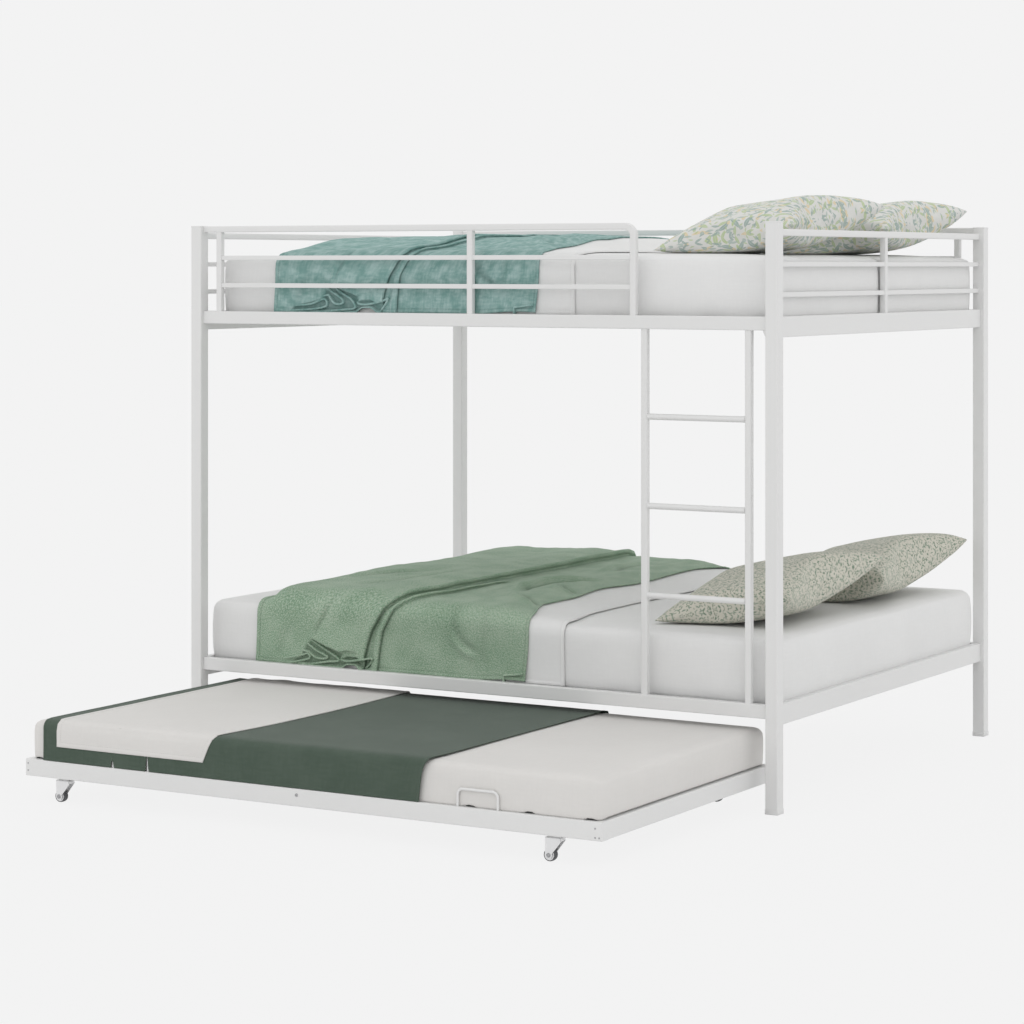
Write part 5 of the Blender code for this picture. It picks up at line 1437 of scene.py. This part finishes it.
@dataclass(kw_only=True)
class Duvet(ClothPiece):
    """A thin duvet that reaches from under the throw to its turned-down edge."""

    loft: float
    edge: float
    taper: Pairs
    profile: Pairs
    turn: Pairs
    front_edge: float = 0.0045

    def thickness_at(self, x: Points, t: Points) -> Points:
        """Return how high the duvet's face stands off the path, 0 past its edges."""
        a, arc, flat, *_ = self.path.lengths
        on_top = smooth_line(self.profile, t - a) * ease(t, a + 2 * arc + flat, a + arc + flat)
        end = smooth_line(self.turn, t)
        taper = smooth_line(self.taper, t - a)
        rise = ease(x, self.start - 0.03, self.start + 0.04) * ease(x, end - 0.02, end - 0.02 - taper)
        rim = ease(x, self.start - 0.01, self.start + 0.012) * ease(x, end + 0.002, end - 0.012)
        edge = self.front_edge + (self.edge - self.front_edge) * ease(t, a, a + arc)
        return rim * (edge + (self.loft - self.edge) * rise * on_top)

    def spread(self, s: Points, t: Points) -> Points:
        """Stretch the columns to the turned-down edge."""
        return self.start + s * (smooth_line(self.turn, t) - self.start) / self.width

    def lift(self, x: Points, t: Points, s: Points) -> Points:
        """Follow the loft, with a groove beside the turned edge and soft ruffles."""
        end = smooth_line(self.turn, t)
        groove = np.exp(-((end - x - 0.022) / 0.004) ** 2)
        height = self.thickness_at(np.minimum(x, end - 0.012), t)
        roll = ease(x, end + 0.0005, end - 0.010) * ease(x, self.start - 0.001, self.start + 0.008)
        soft = 0.0016 * (1 + ripples(x, t, 7.0, 5.0)) * roll
        return np.maximum(height * roll + soft - 0.0022 * groove - self.thickness, 0.0002)


@dataclass(frozen=True)
class Laying:
    """How one bunk's throw lies: its edges, its long fold, its hem and the duvet under it.

    Places across are X, places along are distances from the front hem. `run` is where the
    fold's nose lies and `fold` how high it stands; `gap` is where the hem is drawn up; `rims`
    are the edges of the bunched layers and `bunch` the outline round them; `head` moves the
    head end and `relief` scales the creases on top; `under` is how far the duvet begins
    inside the throw, and `loft`, `lip`, `taper` and `profile` shape the duvet.
    """

    start: float
    head: float
    run: tuple[float, ...]
    fold: tuple[float, ...]
    swell: float
    limit: float
    seed: float
    relief: float
    gap: float
    loft: float
    lip: float
    under: float
    taper: Pairs
    edge: tuple[float, ...]
    profile: Pairs
    lap: Pairs
    rims: Sequence[Triples]
    bunch: Pairs


CORNER_RIM = ((1.150, 0.002, 0.4), (1.152, 0.020, 1.0), (1.180, 0.024, 1.0), (1.217, 0.029, 0.9))
LOWER_LAYING = Laying(
    start=0.225, head=0.0, run=(0.637, 0.645, 0.664, 0.706, 0.748, 0.772, 0.782, 0.770),
    fold=(0.016, 0.018, 0.026, 0.024, 0.028, 0.024, 0.010), swell=0.019, limit=0.0, seed=3.0,
    relief=1.0, gap=0.582, loft=0.034, lip=0.0055, under=0.045,
    taper=((0.0, 0.27), (2.0, 0.27)),
    edge=(1.222, 1.232, 1.226, 1.185, 1.152, 1.150, 1.120, 1.138, 1.115, 1.190),
    profile=((0.0, 0.0), (0.08, 0.72), (0.30, 0.88), (0.55, 1.0)),
    lap=((0.440, 0.0900), (0.507, 0.0660), (0.560, 0.0520), (0.635, 0.0400)),
    rims=(((0.340, 0.0170, 0.2), (0.372, 0.0240, 0.9), (0.404, 0.0315, 1.0), (0.426, 0.0380, 1.0),
           (0.437, 0.0300, 1.0), (0.434, 0.0235, 1.0), (0.420, 0.0185, 1.0), (0.385, 0.0100, 0.9),
           (0.350, 0.0030, 0.2)),
          ((0.404, 0.0480, 0.2), (0.416, 0.0462, 1.0), (0.430, 0.0440, 1.0), (0.446, 0.0350, 1.0),
           (0.462, 0.0270, 1.0), (0.482, 0.0255, 1.0), (0.499, 0.0275, 1.0), (0.504, 0.0325, 1.0),
           (0.492, 0.0390, 1.0), (0.460, 0.0510, 1.0), (0.424, 0.0695, 0.2)),
          ((0.440, 0.0060, 0.3), (0.470, 0.0110, 1.0), (0.510, 0.0185, 1.0), (0.541, 0.0215, 1.0),
           (0.549, 0.0260, 1.0), (0.540, 0.0340, 1.0), (0.498, 0.0540, 1.0), (0.440, 0.0800, 0.2)),
          ((0.557, 0.0380, 0.2), (0.558, 0.0290, 1.0), (0.5795, 0.0245, 1.1), (0.609, 0.0287, 1.1),
           (0.640, 0.0340, 1.1), (0.680, 0.0415, 1.0)),
          ((0.682, 0.0410, 1.0), (0.674, 0.0290, 1.0), (0.6466, 0.0070, 0.6))),
    bunch=((0.366, 0.012), (0.396, 0.026), (0.408, 0.040), (0.420, 0.068), (0.442, 0.084), (0.500, 0.068),
           (0.560, 0.046), (0.562, 0.030), (0.609, 0.027), (0.682, 0.040), (0.660, 0.002), (0.450, 0.002),
           (0.366, 0.012)))
UPPER_LAYING = Laying(
    start=0.296, head=0.036, run=(0.706, 0.712, 0.728, 0.765, 0.800, 0.850, 0.880, 0.880),
    fold=(0.011, 0.012, 0.016, 0.008, 0.001, 0.0, 0.0), swell=0.0, limit=0.0235, seed=30.0,
    relief=0.4, gap=0.636, loft=0.048, lip=0.0065, under=0.012,
    taper=((0.0, 0.27), (0.24, 0.25), (0.50, 0.12), (2.0, 0.12)),
    edge=(1.258, 1.268, 1.264, 1.245, 1.235, 1.220, 1.200, 1.180, 1.110, 1.080),
    profile=((0.0, 0.0), (0.10, 0.06), (0.19, 0.42), (0.28, 0.74), (0.37, 0.84), (0.54, 0.84), (0.68, 1.0),
             (0.9, 1.0), (1.2, 0.75), (1.5, 0.40)),
    lap=((0.515, 0.0900), (0.548, 0.0757), (0.5946, 0.0586), (0.6725, 0.0402)),
    rims=(((0.358, 0.0052, 0.2), (0.4546, 0.0106, 1.0), (0.486, 0.0160, 1.0), (0.500, 0.0220, 1.0),
           (0.501, 0.0300, 1.0), (0.492, 0.0420, 1.0), (0.4796, 0.0400, 1.0), (0.433, 0.0250, 0.9),
           (0.377, 0.0215, 0.2)),
          ((0.4859, 0.0516, 0.2), (0.5046, 0.0550, 1.0), (0.514, 0.0450, 1.0), (0.523, 0.0344, 1.0),
           (0.534, 0.0275, 1.0), (0.548, 0.0259, 1.0), (0.562, 0.0320, 1.0), (0.560, 0.0400, 1.0),
           (0.548, 0.0494, 1.0), (0.520, 0.0640, 0.8), (0.498, 0.0753, 0.2)),
          ((0.517, 0.0050, 0.3), (0.560, 0.0085, 1.0), (0.601, 0.0119, 1.0), (0.609, 0.0180, 1.0),
           (0.607, 0.0236, 1.0), (0.5946, 0.0410, 1.0), (0.560, 0.0590, 0.8), (0.529, 0.0756, 0.2)),
          ((0.620, 0.0360, 0.2), (0.621, 0.0290, 1.0), (0.645, 0.0255, 1.1), (0.680, 0.0300, 1.1),
           (0.710, 0.0370, 1.1), (0.734, 0.0460, 1.0)),
          ((0.734, 0.0460, 1.0), (0.722, 0.0260, 1.0), (0.706, 0.0064, 0.6))),
    bunch=((0.358, 0.004), (0.377, 0.022), (0.480, 0.043), (0.486, 0.056), (0.498, 0.080), (0.529, 0.083),
           (0.595, 0.062), (0.618, 0.050), (0.622, 0.030), (0.680, 0.030), (0.732, 0.044), (0.706, 0.003),
           (0.517, 0.002), (0.358, 0.004)))


RUN_APART = (0.056, 0.052, 0.042, 0.036, 0.040, 0.050, 0.054, 0.054)
LOW_CREASES = (
    (((0.446, 0.088), (0.463, 0.140), (0.490, 0.18), (0.520, 0.21)), 0.0060, 0.007),
    (((1.057, 0.060), (1.030, 0.072), (0.994, 0.091), (0.965, 0.120), (0.945, 0.157), (0.942, 0.205),
      (0.948, 0.25)), 0.0080, 0.013),
    (((1.06, 0.02), (1.04, 0.07), (1.05, 0.16), (1.02, 0.24)), 0.0030, 0.018),
    (((0.28, 0.02), (0.30, 0.09), (0.36, 0.17)), 0.0030, 0.018))
TOP_CREASES = (
    (((0.98, 0.30), (0.935, 0.42), (0.935, 0.56), (0.99, 0.70), (1.06, 0.76)), 0.0170, 0.016),
    (((1.16, 0.12), (1.06, 0.20), (0.98, 0.28)), 0.0120, 0.013),
    (((1.13, 0.42), (1.05, 0.46), (0.99, 0.55)), 0.0100, 0.012),
    (((0.45, 0.10), (0.52, 0.35), (0.60, 0.75)), 0.0050, 0.022),
    (((0.30, 0.30), (0.38, 0.50), (0.50, 0.62)), 0.0050, 0.020),
    (((0.95, 0.95), (0.90, 1.10), (0.92, 1.35)), 0.0090, 0.022))


def bunk_bedding(level: str, top: float, hem: float, crown: float, laying: Laying, finish: Finish) -> None:
    """Build one bunk's duvet and throw.

    Args:
        level: "lower" or "upper".
        top: the height of the mattress by its edges.
        hem: the height of the front hem.
        crown: how much higher the mattress is in its middle.
        laying: how the throw lies.
        finish: the throw's cloth.
    """
    thickness = 0.0036
    side = BEDS.mattress_gap - thickness
    start, head, gap = laying.start, laying.head, laying.gap
    path = CrossPath(side, BEDS.width - side, top, 0.032, hem, 0.055, crown)
    a, arc, *_ = path.lengths
    crest, end = a + arc, path.total
    turn = zip((0.0, crest, crest + 0.25, crest + 0.6, end), (1.354, 1.350, 1.305, 1.295, 1.30))
    duvet = Duvet(f"{level}_quilt", f"duvet_{level}", WHITE_COTTON, BED, path, start + laying.under, 1.06,
                  0.003, (1.06, 1.85), (f"{level}_mattress",), column_step=0.02, row_step=0.02,
                  loft=laying.loft, edge=laying.lip, taper=laying.taper, profile=laying.profile,
                  turn=[(t, x + head) for t, x in turn])
    run = list(zip((0.0, 0.05, a * 0.75, a * 1.12, crest, crest + 0.15, crest + 0.6, end), laying.run))
    tall = list(zip((0.0, a, crest + 0.05, crest + 0.5, crest + 1.2, end - 0.1, end), laying.fold))
    second_run = [(t, x + apart) for (t, x), apart in zip(run, RUN_APART)]
    second_tall = [(0.0, laying.fold[0] * 0.9), (a, laying.fold[1] * 0.8), (crest + 0.15, 0.012),
                   (crest + 0.40, 0.010), (crest + 0.62, 0.0), (end, 0.0)]
    creases = [Crease(laying.lap, 0.016, 0.075, True)]
    shift = start - LOWER_LAYING.start
    for soft, lift, share in ((LOW_CREASES, 0.0, 1.0), (TOP_CREASES, crest, laying.relief)):
        creases += [Crease([(x + shift, t + lift) for x, t in points], height * share, width)
                    for points, height, width in soft]
    along = (0.0, a, *(crest + t for t in (0.0, 0.10, 0.20, 0.36, 0.64, 0.84, 1.28)), end)
    hem_line = [(0.22, 0.001), (gap - 0.16, 0.0), (gap - 0.027, 0.0), (gap, 0.014), (gap + 0.030, 0.015),
                (gap + 0.058, 0.0), (0.9, 0.001), (1.05, 0.0), (1.16 + head, 0.008), (1.30, 0.003)]
    corner = [(x + head, t, out) for x, t, out in CORNER_RIM]
    throw = Throw(f"{level}_throw", f"throw_{level}", finish, BED, path, start, 1.16, thickness, (1.16, 1.78),
                  (f"{level}_quilt", f"{level}_mattress"), creases=creases, duvet=duvet, hem_line=hem_line,
                  folds=[Fold(0.42, run, tall, 0.50), Fold(0.545, second_run, second_tall, 0.32, 0.02)],
                  right_edge=list(zip(along, laying.edge)), low_step=0.003, hem_rise=0.0018,
                  swell=laying.swell, seed=laying.seed, front_limit=laying.limit, bunch=laying.bunch,
                  rims=(*laying.rims, corner))
    duvet.build()
    throw.build()


@dataclass(kw_only=True)
class FlatCover(ClothPiece):
    """A smooth thin cover laid over the trundle's mattress."""

    right_edge: Pairs
    back_wave: float = 0.004
    wave: float = 0.0006
    seed: float = 8.0
    legs: Pairs = ()

    def columns(self) -> Points:
        """Return even columns, closer together by the loop's legs."""
        by_legs = [np.arange(x - self.start - 0.02, x - self.start + 0.02, 0.002) for x, _ in self.legs]
        return thinned(fine_steps(self.width, self.column_step, self.hem), *by_legs)

    def spread(self, s: Points, t: Points) -> Points:
        """Stretch the columns to the right edge, past the loop's legs."""
        near = ease(s, self.width * 0.5, self.width)
        return self.start + s + near * (smooth_line(self.right_edge, t) - self.start - self.width)

    def hem_rise_at(self, x: Points) -> Points:
        """Return how the hem is parted where the covered loop's legs stand."""
        return sum((high * np.exp(-((x - leg) / 0.0050) ** 4) for leg, high in self.legs), np.zeros_like(x))

    def lift(self, x: Points, t: Points, s: Points) -> Points:
        """Lie close, with faint waves, a bulge over the loop and a livelier back edge."""
        near_back = ease(t, self.path.total - 0.20, self.path.total)
        off = (0.0003 + self.wave * (1 + ripples(x, t, 6.0, self.seed))
               + self.back_wave * near_back * (1 + ripples(x * 3.0, t, 5.0, self.seed + 3.0)))
        for leg, _ in self.legs:
            off += 0.0006 * np.exp(-((x - leg) / 0.012) ** 2) * ease(t, 0.060, 0.030)
        return off


# Pillows


@dataclass
class Pillow:
    """A plump pillow sewn from two layers of cloth and blown up by simulated pressure."""

    name: str
    node: str
    finish: Finish
    middle: tuple[float, float]
    rest: float
    loft: float
    tilt: float
    seed: float
    width: float = 0.500
    length: float = 0.735
    filled: tuple[float, float] = (0.484, 0.716)
    back_tilt: float = 5.5
    draw: float = 0.035
    across: int = 26
    down: int = 38
    frames: int = 16

    def sewn(self) -> tuple[Points, list[list[int]]]:
        """Return the flat two-layer pillow's points and faces; the layers share their rim."""
        n, m = self.across, self.down
        numbers = np.zeros((2, n + 1, m + 1), int)
        points = []
        for layer, i, j in product(range(2), range(n + 1), range(m + 1)):
            rim = i in (0, n) or j in (0, m)
            if rim and layer:
                numbers[1, i, j] = numbers[0, i, j]
                continue
            u, v = 2 * i / n - 1, 2 * j / m - 1
            puff = 0.030 * (1 - u**4) * (1 - v**4) * (-1 if layer else 1)
            puff += 0.004 * noise.noise(Vector((u * 3, v * 3, self.seed + layer * 7)))
            numbers[layer, i, j] = len(points)
            points.append((self.width / 2 * u * (1 - self.draw * (1 - v * v)),
                           self.length / 2 * v * (1 - self.draw * (1 - u * u)), 0.0 if rim else puff))
        left, right = numbers[:, :-1], numbers[:, 1:]
        corners = np.stack([left[..., :-1], right[..., :-1], right[..., 1:], left[..., 1:]], -1)
        top, bottom = corners.reshape(2, -1, 4)
        return np.array(points), [*top.tolist(), *bottom[:, ::-1].tolist()]

    def blown(self, points: Points, faces: list[list[int]]) -> Points:
        mesh = bpy.data.meshes.new("pillow_cloth")
        mesh.from_pydata([tuple(p) for p in points], [], faces)
        cloth = linked("pillow_cloth", mesh)
        modifier = cloth.modifiers.new("cloth", "CLOTH")
        for key, value in {"quality": 6, "mass": 0.25, "use_pressure": True, "uniform_pressure_force": 1.2,
                           "tension_stiffness": 18.0, "compression_stiffness": 18.0, "shear_stiffness": 8.0,
                           "bending_stiffness": 0.35}.items():
            setattr(modifier.settings, key, value)
        modifier.settings.effector_weights.gravity = 0.0
        modifier.collision_settings.use_collision = False
        modifier.point_cache.frame_end = self.frames
        for number in range(1, self.frames + 1):
            bpy.context.scene.frame_set(number)
        found = np.array([v.co for v in baked(cloth).vertices])
        bpy.data.objects.remove(cloth)
        bpy.context.scene.frame_set(1)
        size = np.ptp(found, axis=0)
        LOG.info("%s blown to %s", self.name, size.round(3))
        return (found - (found.max(0) + found.min(0)) / 2) * ((*self.filled, self.loft) / size)

    def build(self) -> None:
        """Blow the pillow up, lean it and bed it on the mattress."""
        sewn, faces = self.sewn()
        turn = (Matrix.Rotation(math.radians(self.back_tilt), 3, "X")
                @ Matrix.Rotation(math.radians(-self.tilt), 3, "Y"))
        points = self.blown(sewn, faces) @ np.array(turn).T
        soft, sunk = 0.009, 0.028
        height = (points[:, 2] - points[:, 2].min() - sunk) / soft
        points[:, 2] = soft * np.log1p(np.exp(height)) + 0.0003
        made = piece(self.name, points + (*self.middle, self.rest), faces, self.finish, BED, uvs=sewn[:, :2],
                     sharp=180.0)
        smooth = made.modifiers.new("smooth", "SUBSURF")
        smooth.levels = smooth.render_levels = 1
        settle(made)
        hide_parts(self.node)


@dataclass
class Bedding:
    """All mattresses, covers, throws and pillows."""

    def mattresses(self) -> None:
        """Build the lower mattress, the upper pair and the trundle's own."""
        gap, deck = BEDS.mattress_gap, BEDS.deck_rise - BEDS.rail_height + 0.0003
        base = BEDS.lower_rail_top + deck
        Mattress("lower_mattress", "mattress_lower", (0.0385, gap, base),
                 (BEDS.length - 0.0385, BEDS.width - gap, base + 0.199), WHITE_COTTON, BED,
                 crown=0.0025).build()
        base, middle = BEDS.upper_rail_top + deck, BEDS.width / 2
        for side, low, high, seed in (("front", gap, middle - 0.003, 2.0),
                                      ("back", middle + 0.003, BEDS.width - gap, 6.0)):
            Mattress(f"upper_mattress_{side}", f"mattress_upper_{side}", (0.090, low, base),
                     (BEDS.length - 0.042, high, base + 0.189), WHITE_COTTON, BED, edge=0.024,
                     crown=0.014, end_swell=0.005, corner=0.012, seed=seed).build()
        base, left, right = BEDS.trundle_top + 0.0056, BEDS.trundle_left, BEDS.trundle_right
        slats = tuple(np.linspace(left + 0.0405, right - 0.0405, 11))
        Mattress("trundle_mattress", "mattress_trundle", (left + 0.010, BEDS.trundle_front + 0.0135, base),
                 (right - 0.010, BEDS.trundle_back - 0.014, base + 0.107), CREAM_COTTON, TRUNDLE,
                 edge=0.024, foot_edge=0.0001, crown=0.003, swell=0.0002, end_swell=0.004, cell=0.013,
                 sag=0.0053, slats=slats, square_foot=True).build()

    def trundle_covers(self) -> None:
        """Build the dark blanket and the pale sheet turned back over it."""
        front, back, top = BEDS.trundle_front + 0.0053, BEDS.trundle_back - 0.0116, BEDS.trundle_top + 0.1160
        path = CrossPath(front, back, top, 0.022, BEDS.trundle_top + 0.001, 0.035)
        a, arc, *_ = path.lengths
        middle = BEDS.trundle_middle
        FlatCover("trundle_dark_blanket", "trundle_blanket", DARK_COTTON, TRUNDLE, path, 0.131, 1.345, 0.0018,
                  (1.36, 1.16), ("trundle_mattress",), back_wave=0.0006, column_step=0.02, row_step=0.02,
                  hem=0.008, hem_rise=0.0006, low_step=0.004,
                  legs=((middle - 0.6470, 0.020), (middle - 0.5210, 0.042)),
                  right_edge=((0.0, 1.436), (a * 0.8, 1.446), (a + arc, 1.462), (a + arc + 0.1, 1.470),
                              (path.total, 1.474))).build()
        over = 0.0032
        path = CrossPath(front - over, back + over, top + over, 0.025, top - 0.072, 0.035)
        a, arc, *_ = path.lengths
        FlatCover("trundle_turned_sheet", "trundle_sheet", CREAM_COTTON, TRUNDLE, path, 0.183, 0.572, 0.0024,
                  (0.60, 1.12), ("trundle_dark_blanket",), column_step=0.016, row_step=0.018, hem=0.014,
                  seed=12.0, right_edge=((0.0, 0.712), (a, 0.735), (a + arc, 0.752), (a + arc + 0.35, 0.778),
                                         (a + arc + 0.55, 0.781), (path.total, 0.766))).build()

    def pillows(self) -> None:
        """Build the four pillows."""
        x = BEDS.length - 0.2775
        for level, top, finish, seed, tilt, loft in (
                ("lower", BEDS.lower_top, SPECK_COTTON, 1.0, 12.0, 0.168),
                ("upper", BEDS.upper_top + 0.0075, LEAF_COTTON, 21.0, 9.5, 0.174)):
            for side, y, later in (("front", 0.540, 0.0), ("back", 1.234, 5.0)):
                Pillow(f"{level}_pillow_{side}", f"pillow_{level}_{side}", finish, (x, y), top, loft, tilt,
                       seed + later).build()

    def build(self) -> None:
        """Build all the bedding."""
        self.mattresses()
        bunk_bedding("lower", BEDS.lower_top + 0.0015, BEDS.lower_rail_top - 0.003, 0.0, LOWER_LAYING,
                     SAGE_WOOL)
        bunk_bedding("upper", BEDS.upper_top - 0.0017, BEDS.upper_rail_top - 0.001, 0.0145, UPPER_LAYING,
                     TEAL_LINEN)
        self.trundle_covers()
        self.pillows()


# Studio


@dataclass
class Studio:
    """Camera, soft light and a pale floor."""

    place: tuple[float, float, float] = (4.5846, -7.8604, 1.5746)
    azimuth: float = 30.587
    lens: float = 101.36
    shift: float = -0.241
    backdrop: float = 0.896
    zenith: float = 0.98
    horizon: float = 1.0
    key: float = 0.12
    key_from: tuple[float, float, float] = (0.15, -0.62, 0.60)
    floor_size: float = 80.0

    def camera(self) -> None:
        """Set the camera where the photograph was taken."""
        data = bpy.data.cameras.new("camera")
        data.lens, data.sensor_width, data.shift_y, data.clip_end = self.lens, 36.0, self.shift, 200.0
        made = linked("camera", data)
        made.location = self.place
        made.rotation_euler = (math.pi / 2, 0.0, math.radians(self.azimuth))
        bpy.context.scene.camera = made

    def seen(self, desk: Desk) -> Socket:
        """Return 1 for rays that come from the camera, a mirror or glass."""
        path = desk.node("ShaderNodeLightPath").outputs
        rays = desk.maths("MAXIMUM", path["Is Camera Ray"], path["Is Glossy Ray"])
        return desk.maths("MAXIMUM", rays, path["Is Transmission Ray"])

    def world(self) -> None:
        """Light everything evenly, with a pale backdrop behind."""
        world = bpy.data.worlds.new("studio")
        bpy.context.scene.world = world
        world.use_nodes = True
        desk = Desk(world.node_tree)
        height = desk.split(desk.node("ShaderNodeTexCoord").outputs["Generated"])[2]
        glow = desk.mix(desk.span(height, 0.0, 1.0), (self.horizon,) * 3, (self.zenith,) * 3)
        colour = desk.mix(self.seen(desk), glow, (self.backdrop,) * 3)
        desk.fill(world.node_tree.nodes["Background"], colour, 1.0)

    def lamp(self) -> None:
        """Add the broad key light from the front left."""
        data = bpy.data.lights.new("key", "SUN")
        data.energy, data.angle = self.key, math.radians(40.0)
        linked("key", data).rotation_euler = Vector(self.key_from).to_track_quat("Z", "Y").to_euler()

    def floor(self) -> None:
        """Lay the floor, which shows the backdrop's tone and a faint shadow."""
        mesh, size = bpy.data.meshes.new("floor"), self.floor_size
        mesh.from_pydata([(-size, -size, 0.0), (size, -size, 0.0), (size, size, 0.0), (-size, size, 0.0)], [],
                         [(0, 1, 2, 3)])
        made = linked("floor", mesh)
        made.location.z = -0.0004
        material = bpy.data.materials.new("floor_paper")
        material.use_nodes = True
        nodes = material.node_tree.nodes
        nodes.remove(nodes["Principled BSDF"])
        desk = Desk(material.node_tree)
        height = self.key_from[2] / Vector(self.key_from).length
        lit = (self.zenith + self.horizon) / 2 + self.key * height / math.pi
        paper = desk.node("ShaderNodeBsdfDiffuse", Color=(min(0.92, self.backdrop / lit),) * 3)
        glow = desk.node("ShaderNodeEmission", Color=(self.backdrop,) * 3)
        share = desk.times(self.seen(desk), 0.96)
        faint = desk.node("ShaderNodeMixShader", None, share, paper.outputs[0], glow.outputs[0])
        desk.fill(nodes["Material Output"], Surface=faint.outputs[0])
        mesh.materials.append(material)

    def build(self) -> None:
        """Set the whole stage."""
        self.camera()
        self.world()
        self.lamp()
        self.floor()
        bpy.context.scene.view_settings.view_transform = "Standard"


def main() -> None:
    """Build every sub-assembly."""
    logging.basicConfig(level=logging.INFO, format="%(message)s")
    for assembly in (Studio(), BunkFrame(), Guards(), Ladder(), TrundleFrame(), Bedding()):
        assembly.build()
    bpy.context.view_layer.update()


if __name__ == "__main__":
    main()
